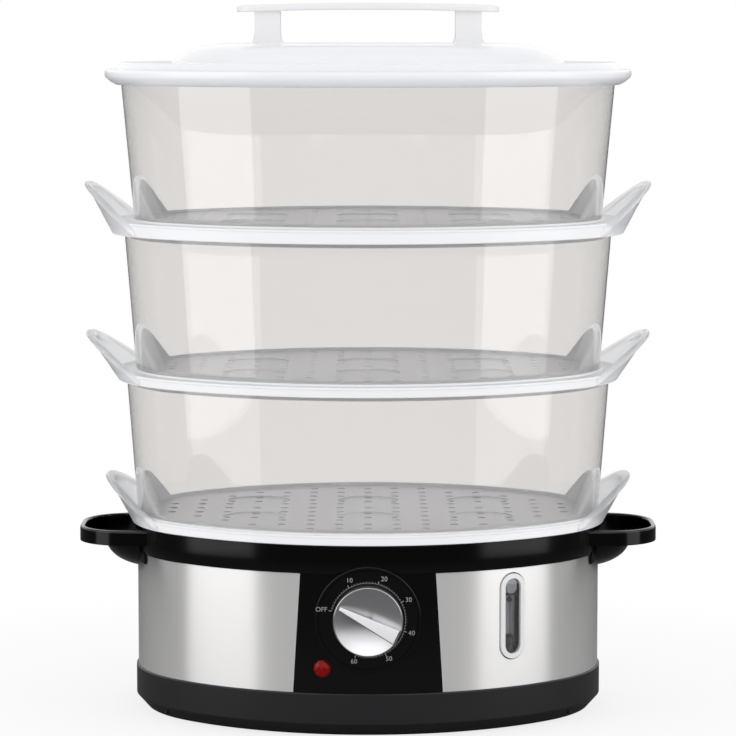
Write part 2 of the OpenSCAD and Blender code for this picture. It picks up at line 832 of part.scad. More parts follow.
module timer_body() {
    boss_y = front_y(panel_in, timer_bolt_x + timer_boss_r) - fit_gap;
    color([0.85, 0.83, 0.76]) difference() {
        union() {
            span([-timer_half, -timer_y, dial_z - timer_h / 2],
                 [timer_half, -timer_y + timer_depth, dial_z + timer_h / 2]);
            bar_y(0, dial_z, shaft_r + 2, -timer_y - 2, -timer_y + past);
            for (x = [-1, 1]) bar_y(x * timer_bolt_x, dial_z, timer_boss_r, -boss_y, -timer_y + past);
        }
        bar_y(0, dial_z, shaft_r + shaft_gap, -timer_y - 4, -timer_y + shaft_in + 0.3);
        for (x = [-1, 1]) bar_y(x * timer_bolt_x, dial_z, screw_r + fit_gap, -timer_y - 8, -timer_y + 8);
    }
}

module timer_screws() {
    seat_y = front_y(panel_out, timer_bolt_x - screw_head_r) + 0.02;
    color([0.7, 0.7, 0.72])
        for (x = [-1, 1]) {
            bar_y(x * timer_bolt_x, dial_z, screw_head_r, -seat_y - screw_head_h, -seat_y);
            bar_y(x * timer_bolt_x, dial_z, screw_r, -seat_y - 0.5, -timer_y + 7.5);
        }
}

module timer_shaft() {
    color([0.75, 0.75, 0.76]) difference() {
        bar_y(0, dial_z, shaft_r, -knob_back - shaft_tip, -timer_y + shaft_in);
        rotate_about_dial(knob_angle)
            span([shaft_r - shaft_flat, -knob_back - shaft_tip - past, -5],
                 [shaft_r + past, -knob_back - 0.2, 5]);
    }
}

// Turns a shape about the dial's axis, so that its +X points anticlockwise by the angle
module rotate_about_dial(angle) {
    translate([0, 0, dial_z]) rotate([0, -angle, 0]) children();
}

module timer_knob() {
    color([0.75, 0.75, 0.76]) difference() {
        union() {
            bar_y(0, dial_z, knob_r, -knob_back - knob_base + 1, -knob_back);
            translate([0, -knob_back - knob_base + 1, dial_z]) rotate([90, 0, 0])
                cylinder(r1 = knob_r, r2 = knob_r - 1, h = 1);
            intersection() {
                bar_y(0, dial_z, knob_r - 1, -knob_front, -knob_back);
                rotate_about_dial(knob_angle) translate([0, -knob_back - past, 0]) rotate([90, 0, 0])
                    linear_extrude(knob_depth - past) polygon([
                        [knob_r, -grip_narrow], [knob_r, grip_narrow],
                        [-knob_r, grip_wide], [-knob_r, -grip_wide]
                    ]);
            }
        }
        difference() {
            bar_y(0, dial_z, shaft_r + shaft_gap, -knob_back - shaft_tip - 0.2, -knob_back + past);
            rotate_about_dial(knob_angle)
                span([shaft_r - shaft_flat + shaft_gap, -knob_back - shaft_tip - 2, -5],
                     [shaft_r + past, -knob_back - 0.8, 5]);
        }
        difference() {
            bar_y(0, dial_z, knob_r - 2, -knob_back - knob_base + 2, -knob_back + past);
            bar_y(0, dial_z, shaft_r + 2.5, -knob_back - knob_base, -knob_back + 2 * past);
        }
    }
}

module control_panel() {
    color([0.08, 0.08, 0.09]) difference() {
        intersection() {
            side_arc(270 - 20, 40, -1) translate([panel_in, skirt_top])
                square([panel_t, housing_top - skirt_top]);
            panel_prism(0, skirt_top, housing_top);
        }
        bar_y(0, dial_z, shaft_r + 2.4, -half_short - 5, -half_short + 12);
        for (x = [-1, 1])
            bar_y(x * timer_bolt_x, dial_z, screw_r + 2 * fit_gap, -half_short - 5, -half_short + 12);
        lamp_place() bar_y(0, 0, lamp_r - 0.8, -10, 10);
    }
}

module dial_plate() {
    color([0.07, 0.07, 0.08]) difference() {
        union() {
            translate([0, -panel_y + 4, dial_z]) rotate([90, 0, 0])
                cylinder(r = dial_r, h = dial_stand + 4 - 0.6);
            translate([0, -dial_y + 0.6, dial_z]) rotate([90, 0, 0])
                cylinder(r1 = dial_r, r2 = dial_r - 0.6, h = 0.6);
        }
        translate([0, side_d, 0])
            cylinder(r = side_r + panel_out + fit_gap, h = housing_top, $fn = 2 * arc_fn);
        translate([0, side_d, housing_top - fit_gap])
            cylinder(r = side_r + rim_out + fit_gap, h = rim_h, $fn = 2 * arc_fn);
        bar_y(0, dial_z, shaft_r + 1, -dial_y - past, -panel_y + 5);
        for (x = [-1, 1])
            bar_y(x * timer_bolt_x, dial_z, screw_head_r + 0.5, -dial_y + 0.6, -panel_y + 5);
    }
}

// Puts a shape drawn about the origin on the panel's face at the lamp, facing outwards
module lamp_place() {
    turn = asin(lamp_dx / (side_r + panel_out));
    translate([0, side_d, dial_z - lamp_dz]) rotate([0, 0, -turn])
        translate([0, -side_r - panel_out, 0]) children();
}

module lamp_lens() {
    color([0.8, 0.05, 0.05]) lamp_place() union() {
        bar_y(0, 0, lamp_r - 0.9, -0.5, panel_t + 2);
        intersection() {
            translate([0, lamp_r * 1.1 - 0.2, 0]) sphere(r = lamp_r * 1.65);
            bar_y(0, 0, lamp_r, -6, -0.2);
        }
    }
}

module lamp_holder() {
    color([0.85, 0.85, 0.82]) lamp_place() difference() {
        bar_y(0, 0, lamp_r + 0.3, panel_t + fit_gap, panel_t + fit_gap + lamp_len);
        bar_y(0, 0, lamp_r - 0.8, panel_t, panel_t + 3);
    }
}

// ---------- Water gauge ----------

// Puts a shape drawn at the front, about the side arc's centre, round to the gauge
module gauge_place() {
    translate([0, side_d, gauge_z]) rotate([0, 0, gauge_turn]) children();
}

// A block with round ends, its face at a depth behind the steel's outside
module gauge_block(half, height, from, to) {
    translate([0, -gauge_out - from, 0]) rotate([90, 0, 0]) linear_extrude(to - from)
        union() {
            square([2 * half, height - 2 * half], center = true);
            for (end = [-1, 1]) translate([0, end * (height / 2 - half)]) circle(r = half);
        }
}

module gauge_window() {
    inner = gauge_h - 2 * gauge_wall;
    color([0.85, 0.87, 0.9, 0.5]) difference() {
        union() {
            gauge_place() gauge_block(gauge_w / 2, gauge_h, -gauge_depth, 0);
            gauge_place() gauge_block(gauge_w / 2 - 1, gauge_h - 2, -past, 0.6);
        }
        gauge_place() gauge_block(channel_half, inner, -gauge_depth - past, -gauge_wall);
    }
}

module gauge_channel() {
    inner = gauge_h - 2 * gauge_wall;
    back = -gauge_out + gauge_depth + channel_t;
    gap = 2 * fit_gap;
    color([0.25, 0.25, 0.27]) difference() {
        union() {
            gauge_place() gauge_block(gauge_w / 2, gauge_h, -gauge_depth - channel_t, -gauge_depth);
            for (z = port_z)
                gauge_place() translate([0, 0, z - gauge_z])
                    bar_y(0, 0, spigot_r, back - 0.5, back - channel_t + 8);
            gauge_place() difference() {
                gauge_block(channel_half - gap, inner - 2 * gap, -gauge_depth - 0.1,
                    -gauge_depth + channel_lip);
                gauge_block(channel_half - 1.6, inner - 3.2, -gauge_depth,
                    -gauge_depth + channel_lip + past);
            }
        }
        for (z = port_z)
            gauge_place() translate([0, 0, z - gauge_z])
                bar_y(0, 0, port_r, -gauge_out + gauge_depth - 3, -gauge_out + gauge_depth + 12);
    }
}

module gauge_float() {
    middle = gauge_out - (gauge_wall + gauge_depth - channel_lip) / 2;
    color([0.3, 0.3, 0.32]) translate([0, side_d, 0]) rotate([0, 0, gauge_turn])
        translate([0, -middle, float_z]) difference() {
            union() {
                cylinder(r = float_r, h = float_h);
                translate([0, 0, float_h])
                    cylinder(r1 = float_r, r2 = float_r - float_chamfer, h = float_chamfer);
            }
            translate([0, 0, -past]) cylinder(r = float_r - 1.4, h = past + 2);
        }
}

module gauge_spigots() {
    for (z = port_z)
        gauge_place() translate([0, 0, z - gauge_z])
            bar_y(0, 0, spigot_r, -(side_r + tank_mouth + 8), -(side_r + tank_foot + 0.4));
}

module gauge_ports(from, to) {
    for (z = port_z)
        gauge_place() translate([0, 0, z - gauge_z]) bar_y(0, 0, port_r, -to, -from);
}

module gauge_hoses() {
    front = gauge_out - gauge_depth - channel_t - fit_gap;
    back = side_r + tank_mouth + tank_t + 1.4;
    color([0.8, 0.8, 0.78, 0.8])
        for (z = port_z)
            gauge_place() translate([0, 0, z - gauge_z]) difference() {
                bar_y(0, 0, hose_r, -front, -back);
                bar_y(0, 0, spigot_r + fit_gap, -front - past, -back + past);
            }
}

module cord_gland() {
    color([0.05, 0.05, 0.05]) difference() {
        union() {
            bar_y(0, gland_z, gland_r, half_short + skirt_in - gland_in, gland_face + past);
            bar_y(0, gland_z, gland_r + 2.2, gland_face, gland_face + 2.2);
        }
        bar_y(0, gland_z, cord_hole_r, half_short + skirt_in - gland_in - past, gland_face + 5);
    }
}

// ---------- Inside the tank and above the rim ----------

module steam_ring() {
    foot = tank_floor_top;
    color([0.85, 0.86, 0.88]) difference() {
        union() {
            translate([0, 0, foot]) cylinder(r = ring_r, h = ring_h);
            translate([0, 0, foot + ring_h - 2]) cylinder(r = ring_r + 2, h = 2);
        }
        translate([0, 0, foot - past]) cylinder(r = ring_r - ring_t, h = ring_h + 2 * past);
        for (i = [0:ring_slots - 1])
            rotate([0, 0, i * 360 / ring_slots])
                span([ring_r - 5, -2.2, foot - past], [ring_r + 5, 2.2, foot + 5]);
    }
}

module drip_tray() {
    color([0.93, 0.94, 0.96]) difference() {
        union() {
            oval_sweep() polygon([
                [drip_out - 5, drip_z],
                [drip_out - 1, drip_z],
                [drip_out, drip_z + 1],
                [drip_out, drip_z + drip_h],
                [drip_out - drip_t, drip_z + drip_h],
                [drip_out - drip_t, drip_z + drip_t + 0.6],
                [drip_out - 5, drip_z + drip_t]
            ]);
            oval_plate(drip_out - 3, drip_z, drip_z + drip_t);
            oval_sweep() translate([collar_at - 1, drip_z + 0.5]) square([drip_t + 1, collar_h]);
            for (dir = [0, 55, 125, 180, 235, 305])
                translate([oval_point(drip_out - 3.9, dir).x, oval_point(drip_out - 3.9, dir).y, deck_z])
                    cylinder(r = 2.6, h = drip_stand + 0.5);
        }
        oval_plate(collar_at, drip_z - past, drip_z + collar_h + 2 * past);
    }
}

// Floor holes on a grid, kept clear of the wall seat, of the egg rests' edges and of a rib
module floor_holes(edge) {
    rows = floor((half_short + edge) / hole_pitch);
    columns = floor((half_long + edge) / hole_pitch);
    for (i = [-columns:columns], j = [-rows:rows])
        if (offset_of(i * hole_pitch, j * hole_pitch) < edge - hole_r)
            translate([i * hole_pitch, j * hole_pitch]) circle(r = hole_r, $fn = 24);
}

module egg_places() {
    for (x = [-2, 0, 2], y = [-1, 1]) translate([x * 2 * hole_pitch, y * 2 * hole_pitch, 0]) children();
}

// A floor tray: ring, perforated floor, locating ribs, two wings and two fins.
// ring_in is the inside offset of the ring's lower face, under the inside offset of what the
// tray drops into, and foot the offset of its own wall.
module tray(z, height, out, ring_in, under, foot, wing_tip, ribs_down) {
    floor_z = z + height;
    seat_in = foot - wall_t - wall_gap;
    roof = floor_z - flange_t;
    color([0.94, 0.95, 0.97]) union() {
        oval_sweep() polygon([
            [ring_in, z],
            [out - 0.5, z],
            [out, z + 0.5],
            [out, floor_z - 2.3],
            [out + 0.8, floor_z - 2],
            [out + 0.8, floor_z - 1.1],
            [out + 0.3, floor_z - 0.7],
            [out - 0.9, floor_z - 0.7],
            [out - 1.4, floor_z - 1.1],
            [foot + 1.6, floor_z - 1.1],
            [foot + 1.2, floor_z],
            [seat_in - 6, floor_z],
            [seat_in - 6, roof],
            [ring_in, roof]
        ]);
        oval_sweep() polygon([
            [under - wall_gap, roof + 1],
            [under - wall_gap, z - ribs_down + 0.6],
            [under - wall_gap - 0.6, z - ribs_down],
            [under - wall_gap - 1.8, z - ribs_down],
            [under - wall_gap - 1.8, roof + 1]
        ]);
        oval_sweep() translate([seat_in - 1.6, floor_z - 0.5]) square([1.6, 2.1]);
        difference() {
            translate([0, 0, roof]) linear_extrude(flange_t) difference() {
                oval_2d(seat_in - 4);
                floor_holes(seat_in - 10);
            }
            egg_places() translate([0, 0, floor_z - egg_deep]) cylinder(r = egg_r, h = past + egg_deep);
        }
        wings(z, floor_z, out, wing_tip);
        fins(floor_z, seat_in);
    }
}

// Two wings: flared end plates with a round outline
module wings(z, floor_z, out, wing_tip) {
    tip_z = floor_z + wing_rise;
    intersection() {
        end_arcs(join_a - 1) polygon([
            [out - 1.6, z + 0.8], [out, z + 0.8],
            [wing_tip, tip_z - 1.6], [wing_tip - 0.6, tip_z], [wing_tip - wing_t, tip_z],
            [out - 1.6 - wing_t * 0.4, z + 4]
        ]);
        outline_prism(tip_z, wing_r);
    }
}

// Two fins: upright end plates inside the clear wall, with a round outline
module fins(floor_z, seat_in) {
    intersection() {
        end_arcs(join_a - 1) translate([seat_in - fin_t, floor_z - 0.5])
            square([fin_t, fin_rise + 0.5]);
        outline_prism(floor_z + fin_rise, fin_r);
    }
}

// A long bar along X with a round top, that gives wings and fins their outline
module outline_prism(top, r) {
    translate([-200, 0, top - r]) rotate([0, 90, 0]) cylinder(r = r, h = 400, $fn = arc_fn);
}

module tray_1() {
    tray(tray_1_z, tray_1_h, tray_1_out, rim_in + 0.8, rim_in, wall_1_foot, wing_1_tip, rim_rib);
}

module tray_2() {
    under = wall_at(wall_1_foot, wall_1_top, tray_2_h - flange_t, wall_show - wall_rib) - wall_t;
    tray(tray_2_z, tray_2_h, tray_2_out, tray_2_out - tray_t, under, wall_2_foot, wing_2_tip, wall_rib);
}

module tray_3() {
    under = wall_at(wall_2_foot, wall_2_top, tray_3_h - flange_t, wall_show - wall_rib) - wall_t;
    tray(tray_3_z, tray_3_h, tray_3_out, tray_3_out - tray_t, under, wall_3_foot, wing_3_tip, wall_rib);
}

// A clear tapered wall that stands on a floor and enters the piece above
module clear_wall(floor_z, foot, top, enter) {
    color([0.82, 0.84, 0.85, 0.35]) oval_sweep() polygon([
        [foot - wall_t, floor_z], [foot, floor_z],
        [top, floor_z + wall_show + enter], [top - wall_t, floor_z + wall_show + enter]
    ]);
}

module wall_1() { clear_wall(floor_1_z, wall_1_foot, wall_1_top, tray_2_h - flange_t); }
module wall_2() { clear_wall(floor_2_z, wall_2_foot, wall_2_top, tray_3_h - flange_t); }
module wall_3() { clear_wall(floor_3_z, wall_3_foot, wall_3_top, lid_seat); }

module lid() {
    rib = wall_at(wall_3_foot, wall_3_top, lid_seat, wall_show + lid_seat - lid_rib) - wall_t - wall_gap;
    seat_z = lid_z + lid_seat;
    color([0.95, 0.96, 0.98, 0.9]) difference() {
        union() {
            oval_sweep() polygon([
                [wall_3_top + wall_gap, lid_z],
                [lid_out, lid_z],
                [lip_out - 1.6, lid_z + lip_h - 5.4],
                [lip_out, lid_z + lip_h - 3.6],
                [lip_out, lid_z + lip_h - 0.8],
                [lip_out - 0.8, lid_z + lip_h],
                [shoulder_at + 2, lid_z + lip_h + 0.4],
                [shoulder_at, shoulder_z - 0.8],
                [shoulder_at - 1, shoulder_z],
                [dome_foot, shoulder_z],
                [dome_foot - 4.5, shoulder_z + dome_h * 0.36],
                [dome_foot - 10.5, shoulder_z + dome_h * 0.66],
                [dome_foot - 19, shoulder_z + dome_h * 0.88],
                [dome_foot - 29, shoulder_z + dome_h * 0.975],
                [dome_foot - 40, dome_z],
                [dome_foot - 44, dome_z],
                [dome_foot - 44, dome_z - lid_t],
                [dome_foot - 40, dome_z - lid_t],
                [dome_foot - 29, dome_z - dome_h * 0.025 - lid_t],
                [dome_foot - 20, shoulder_z + dome_h * 0.88 - lid_t],
                [dome_foot - 12, shoulder_z + dome_h * 0.66 - lid_t],
                [dome_foot - 6.3, shoulder_z + dome_h * 0.36 - lid_t],
                [dome_foot - 1.8, shoulder_z - lid_t],
                [shoulder_at - 2.6, shoulder_z - lid_t],
                [shoulder_at - 2.2, seat_z + lid_t],
                [rib - 1.8, seat_z + lid_t],
                [rib - 1.8, seat_z - lid_rib],
                [rib, seat_z - lid_rib],
                [rib, seat_z],
                [wall_3_top + wall_gap, seat_z]
            ]);
            oval_plate(dome_foot - 41, dome_z - lid_t, dome_z);
        }
        vents();
        for (x = [-1, 1]) translate([x * post_x, 0, dome_z - lid_t - past])
            cylinder(r = screw_r + 2 * fit_gap, h = lid_t + 2 * past);
    }
}

module vents() {
    for (side = [-1, 1], y = [-1, 0, 1])
        translate([side * 30, y * 9, dome_z - lid_t - past]) cylinder(r = vent_r, h = lid_t + 2 * past);
}

module lid_handle() {
    bar_top = dome_z + bar_rise;
    color([0.97, 0.97, 0.98]) union() {
        intersection() {
            translate([0, 0, bar_top - 20]) linear_extrude(30) union() {
                square([2 * bar_half - bar_w, bar_w], center = true);
                for (x = [-1, 1]) translate([x * (bar_half - bar_w / 2), 0]) circle(r = bar_w / 2);
            }
            translate([0, 0, bar_top - bar_curve]) rotate([90, 0, 0])
                difference() {
                    cylinder(r = bar_curve, h = 60, center = true, $fn = 1440);
                    cylinder(r = bar_curve - bar_t, h = 70, center = true, $fn = 1440);
                }
        }
        for (x = [-1, 1]) handle_post(x * post_x, bar_top);
    }
}

// A post with a flared foot and a screw hole up its middle
module handle_post(x, bar_top) {
    drop = bar_top - bar_t / 2 - bar_half * bar_half / (2 * bar_curve);
    difference() {
        translate([x, post_t / 2, 0]) rotate([90, 0, 0]) linear_extrude(post_t) polygon([
            [-post_half - post_flare, dome_z], [post_half + post_flare, dome_z],
            [post_half + 0.3, dome_z + 3], [post_half, dome_z + 6], [post_half, drop],
            [-post_half, drop], [-post_half, dome_z + 6], [-post_half - 0.3, dome_z + 3]
        ]);
        translate([x, 0, dome_z - past]) cylinder(r = screw_r + fit_gap, h = 11);
    }
}

module handle_screws() {
    color([0.7, 0.7, 0.72])
        for (x = [-1, 1]) translate([x * post_x, 0, 0]) {
            translate([0, 0, dome_z - lid_t - screw_head_h]) cylinder(r = screw_head_r, h = screw_head_h);
            translate([0, 0, dome_z - lid_t - 0.5]) cylinder(r = screw_r, h = lid_t + 9.5);
        }
}

housing();
inner_shell();
bottom_plate();
feet();
bottom_screws();
steel_wrap();
rim_band();
fill_handles();
water_tank();
heater();
heater_gasket();
heater_clamp();
heater_screws();
thermostat();
thermal_fuse();
terminal_block();
wiring();
timer_body();
timer_screws();
timer_shaft();
timer_knob();
control_panel();
dial_plate();
lamp_lens();
lamp_holder();
gauge_window();
gauge_channel();
gauge_float();
gauge_hoses();
cord_gland();
steam_ring();
drip_tray();
tray_1();
wall_1();
tray_2();
wall_2();
tray_3();
wall_3();
lid();
lid_handle();
handle_screws();
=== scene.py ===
import logging
import math
from dataclasses import dataclass, field
from enum import Enum
from typing import Callable, Iterable, Optional, Sequence

import bmesh
import bpy
from mathutils import Matrix, Vector


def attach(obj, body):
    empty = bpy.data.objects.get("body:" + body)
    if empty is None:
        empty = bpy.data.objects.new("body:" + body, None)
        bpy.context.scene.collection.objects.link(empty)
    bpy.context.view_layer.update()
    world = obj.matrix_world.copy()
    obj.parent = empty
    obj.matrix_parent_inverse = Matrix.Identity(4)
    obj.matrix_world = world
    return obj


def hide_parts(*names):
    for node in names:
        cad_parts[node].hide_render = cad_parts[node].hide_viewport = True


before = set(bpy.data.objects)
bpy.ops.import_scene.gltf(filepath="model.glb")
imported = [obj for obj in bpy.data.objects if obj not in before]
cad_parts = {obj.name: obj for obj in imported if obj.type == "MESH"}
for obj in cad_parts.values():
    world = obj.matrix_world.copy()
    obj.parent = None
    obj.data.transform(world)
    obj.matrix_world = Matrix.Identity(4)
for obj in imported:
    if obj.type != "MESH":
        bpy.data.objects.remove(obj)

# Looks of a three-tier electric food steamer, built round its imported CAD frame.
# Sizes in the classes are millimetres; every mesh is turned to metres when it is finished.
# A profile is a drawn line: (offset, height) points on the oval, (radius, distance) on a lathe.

LOG = logging.getLogger("steamer")
MM = 0.001
MEETING = 0.002  # vertices nearer than this become one
FORWARD = Vector((0, -1, 0))
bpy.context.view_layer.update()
Point = tuple[float, float]
Profile = Sequence[Point]
BMesh = bmesh.types.BMesh
BMVert = bmesh.types.BMVert
BMEdge = bmesh.types.BMEdge
BMFace = bmesh.types.BMFace
Node = bpy.types.Node
NodeTree = bpy.types.NodeTree


class Side(Enum):
    """The two long ends of the oval."""

    LEFT = -1
    RIGHT = 1


# ---------- Finishes ----------


def linear(code: str) -> tuple[float, float, float, float]:
    """Turn an sRGB hex colour to the linear values that a shader takes.

    Args:
        code: Six hex digits after a hash sign.

    Returns:
        Linear red, green, blue and an alpha of 1.
    """
    parts = [int(code[i:i + 2], 16) / 255 for i in (1, 3, 5)]
    red, green, blue = [p / 12.92 if p <= 0.04045 else ((p + 0.055) / 1.055) ** 2.4 for p in parts]
    return red, green, blue, 1.0


def add(tree: NodeTree, kind: str, values: Optional[dict] = None,
        links: Optional[dict] = None, **settings: object) -> Node:
    """Add one node with its settings, input values and incoming links.

    Args:
        tree: The node tree that gets the node.
        kind: The node's type name.
        values: Input values by input name or number.
        links: Output sockets by the name or number of the input that they feed.
        settings: The node's own properties.

    Returns:
        The new node.
    """
    node = tree.nodes.new(kind)
    for name, value in settings.items():
        setattr(node, name, value)
    for name, value in (values or {}).items():
        node.inputs[name].default_value = value
    for name, socket in (links or {}).items():
        tree.links.new(socket, node.inputs[name])
    return node


def blank(name: str) -> tuple[bpy.types.Material, NodeTree]:
    """Make an empty node material.

    Args:
        name: The material's name.

    Returns:
        The material and its cleared node tree.
    """
    material = bpy.data.materials.new(name)
    material.use_nodes = True
    material.node_tree.nodes.clear()
    return material, material.node_tree


def relief(tree: NodeTree, shader: Node, where: bpy.types.NodeSocket, scale: float, detail: float,
           depth: float) -> None:
    """Give a shader the fine noise relief of a mould's grain or a brushing.

    Args:
        tree: The node tree of the shader.
        shader: The shader that gets the relief.
        where: The coordinates that the noise follows.
        scale: The noise's scale.
        detail: The noise's detail.
        depth: The relief's depth.
    """
    noise = add(tree, "ShaderNodeTexNoise", {"Scale": scale, "Detail": detail}, {"Vector": where})
    bump = add(tree, "ShaderNodeBump", {"Strength": 1.0, "Distance": depth * MM},
               {"Height": noise.outputs["Fac"]})
    tree.links.new(bump.outputs["Normal"], shader.inputs["Normal"])


@dataclass(frozen=True)
class Plastic:
    """A moulded plastic or rubber, with an optional fine grain from its mould."""

    name: str
    colour: str
    roughness: float
    ior: float = 1.5
    clear: float = 0.0
    milky: float = 0.0
    grain_mm: float = 0.0
    grain_depth: float = 0.0
    coat: float = 0.0
    edge_tint: str = ""
    edge_density: float = 0.0

    def material(self) -> bpy.types.Material:
        """Build the plastic's shader.

        Returns:
            The new material.
        """
        material, tree = blank(self.name)
        shader = add(tree, "ShaderNodeBsdfPrincipled", {
            "Base Color": linear(self.colour), "Roughness": self.roughness, "IOR": self.ior,
            "Transmission Weight": self.clear, "Coat Weight": self.coat,
            "Subsurface Weight": self.milky, "Subsurface Scale": 4 * MM,
            "Subsurface Radius": (1.0, 1.0, 1.0),
        })
        if self.grain_mm:
            where = add(tree, "ShaderNodeTexCoord").outputs["Object"]
            relief(tree, shader, where, 1 / (self.grain_mm * MM), 2.0, self.grain_depth)
        ends = {"Surface": shader.outputs["BSDF"]}
        if self.edge_density:
            depth = add(tree, "ShaderNodeVolumeAbsorption",
                        {"Color": linear(self.edge_tint), "Density": self.edge_density})
            ends["Volume"] = depth.outputs["Volume"]
        add(tree, "ShaderNodeOutputMaterial", links=ends)
        return material


@dataclass(frozen=True)
class Metal:
    """A metal, with an optional brushing that runs round the upright axis."""

    name: str
    colour: str
    roughness: float
    anisotropy: float = 0.0
    brush_mm: float = 0.0
    brush_stretch: float = 60.0
    brush_depth: float = 0.0

    def material(self) -> bpy.types.Material:
        """Build the metal's shader.

        Returns:
            The new material.
        """
        material, tree = blank(self.name)
        shader = add(tree, "ShaderNodeBsdfPrincipled", {
            "Base Color": linear(self.colour), "Metallic": 1.0, "Roughness": self.roughness,
            "Anisotropic": self.anisotropy, "Anisotropic Rotation": 0.25 if self.anisotropy else 0.0,
        })
        if self.anisotropy:
            around = add(tree, "ShaderNodeTangent", direction_type="RADIAL", axis="Z")
            tree.links.new(around.outputs["Tangent"], shader.inputs["Tangent"])
        if self.brush_mm:
            where = add(tree, "ShaderNodeTexCoord")
            fine = 1 / (self.brush_mm * MM)
            long = fine / self.brush_stretch
            stretch = add(tree, "ShaderNodeMapping", {"Scale": (long, long, fine)},
                          {"Vector": where.outputs["Object"]})
            relief(tree, shader, stretch.outputs["Vector"], 1.0, 3.0, self.brush_depth)
        add(tree, "ShaderNodeOutputMaterial", links={"Surface": shader.outputs["BSDF"]})
        return material


# Textured polypropylene: a dark satin that holds only soft, wide reflections.
HOUSING = Plastic("satin moulded black polypropylene", "#17171a", 0.42, ior=1.42,
                  grain_mm=0.6, grain_depth=0.01)
# The same plastic with a coarser grain, dull and even on the underside.
UNDERSIDE = Plastic("matte moulded black polypropylene", "#232326", 0.55, grain_mm=0.8, grain_depth=0.02)
# Soft rubber: almost no shine.
FOOT_RUBBER = Plastic("matte black rubber", "#1a1a1a", 0.8)
# Polished mould: near-black with clean reflections.
GLOSS_BLACK = Plastic("gloss moulded black ABS", "#020203", 0.15, ior=1.38)
# Control panel: gloss ABS, a little softer than the rim.
PANEL_BLACK = Plastic("gloss moulded black ABS panel", "#030304", 0.16, ior=1.4)
# Printed dial disc: a soft sheen round the numbers.
DIAL_BLACK = Plastic("satin printed black disc", "#030304", 0.25, ior=1.36)
# Screen-printed ink: dull and pale grey.
DIAL_INK = Plastic("pale grey screen ink", "#9a9a9c", 0.6)
# Water tank: a dark satin like the housing's, a little greyer.
TANK_BLACK = Plastic("satin black polypropylene tank", "#303034", 0.35)
# Brushed stainless sheet: its fine lines run round the base and smear each reflection upright.
BRUSHED_STEEL = Metal("brushed stainless steel", "#e6e5e4", 0.32, anisotropy=1.0,
                      brush_mm=0.35, brush_depth=0.0006)
# Plated knob: a pale satin metal with soft highlights.
KNOB_METAL = Metal("satin chrome plate", "#c6c6c9", 0.28)
# Die-cast aluminium heater: pale and rather dull.
HEATER_ALLOY = Metal("cast aluminium", "#b9babd", 0.4)
# Zinc plate on small steel parts: greyish with a soft shine.
ZINC = Metal("zinc-plated steel", "#b0b1b5", 0.35)
# Brass can of the thermostat: warm and softly shiny.
BRASS = Metal("plain brass", "#b8a06a", 0.35)
# Silicone sealing ring: red-brown and dull.
SILICONE_RED = Plastic("red silicone rubber", "#a8402f", 0.5)
# Silicone hoses: greyish and milky.
SILICONE_HOSE = Plastic("natural silicone rubber", "#d8d8d2", 0.4, milky=0.4)
# Glazed sleeve of the fuse: off-white with a gloss.
CERAMIC = Plastic("white glazed ceramic", "#e6e4dc", 0.25)
# Phenolic of the timer and of the terminal block: cream and dull.
PHENOLIC = Plastic("cream phenolic moulding", "#d8d2bd", 0.45)
# Wire insulation: grey and matte.
WIRE_SLEEVE = Plastic("grey glass-fibre sleeve", "#c9c9c7", 0.7)
# Lamp lens: deep red styrene, unlit, with a trace of depth.
LAMP_RED = Plastic("clear red polystyrene", "#820004", 0.2, ior=1.3, clear=0.1)
# Clear walls: polycarbonate that darkens towards grey only where it is seen edge on.
CLEAR_WALL = Plastic("clear polycarbonate", "#f8f6f5", 0.02, ior=1.5, clear=1.0,
                     edge_tint="#8c9088", edge_density=45.0)
# Gauge glass: clear, with sharp reflections.
CLEAR_GAUGE = Plastic("clear thick polycarbonate", "#f2f2f2", 0.02, ior=1.5, clear=1.0)
# Gauge back: a satin grey that shows through the glass.
GAUGE_GREY = Plastic("satin grey gauge back", "#cfcdd4", 0.35)
# Gauge frame: the thick edge of the clear moulding, given a near-opaque white as a painted highlight for the
# light that gathers in it.
GAUGE_EDGE_PAINTED_HIGHLIGHT = Plastic("thick clear acrylic edge", "#f8f9fa", 0.08, ior=1.49, clear=0.12)
# Flat pieces behind the gauge's glass: a pale grey one for the rounded recess at the top, a near-black line
# of painted shadow under it and a near-black spot of painted shade where a small hole is.
MARK_LIGHT = Plastic("pale grey moulded mark", "#9c9ca2", 0.4)
PAINTED_SHADE_MARK = Plastic("near-black painted shade", "#08080a", 0.5, ior=1.35)
# Gauge float: dark and dull.
FLOAT_DARK = Plastic("dark moulded float", "#2a2a2c", 0.5)
# Trays: natural polypropylene, white with a cool tinge, its gloss broken by the mould's fine texture.
TRAY_WHITE = Plastic("natural white polypropylene", "#f9fafd", 0.42, ior=1.49, coat=0.15,
                     grain_mm=0.5, grain_depth=0.004)
# Wings of the trays: the same plastic, thin enough that the room shines through.
WING_WHITE = Plastic("thin natural polypropylene", "#fbfcfe", 0.3, ior=1.35, clear=0.8)
# Lid: the same plastic, polished to a gloss.
LID_WHITE = Plastic("polished white polypropylene", "#f6f7fb", 0.3, ior=1.49, coat=0.3)
# Lid handle: plain opaque white with a soft shine.
HANDLE_WHITE = Plastic("opaque white polypropylene", "#f4f4f5", 0.3)

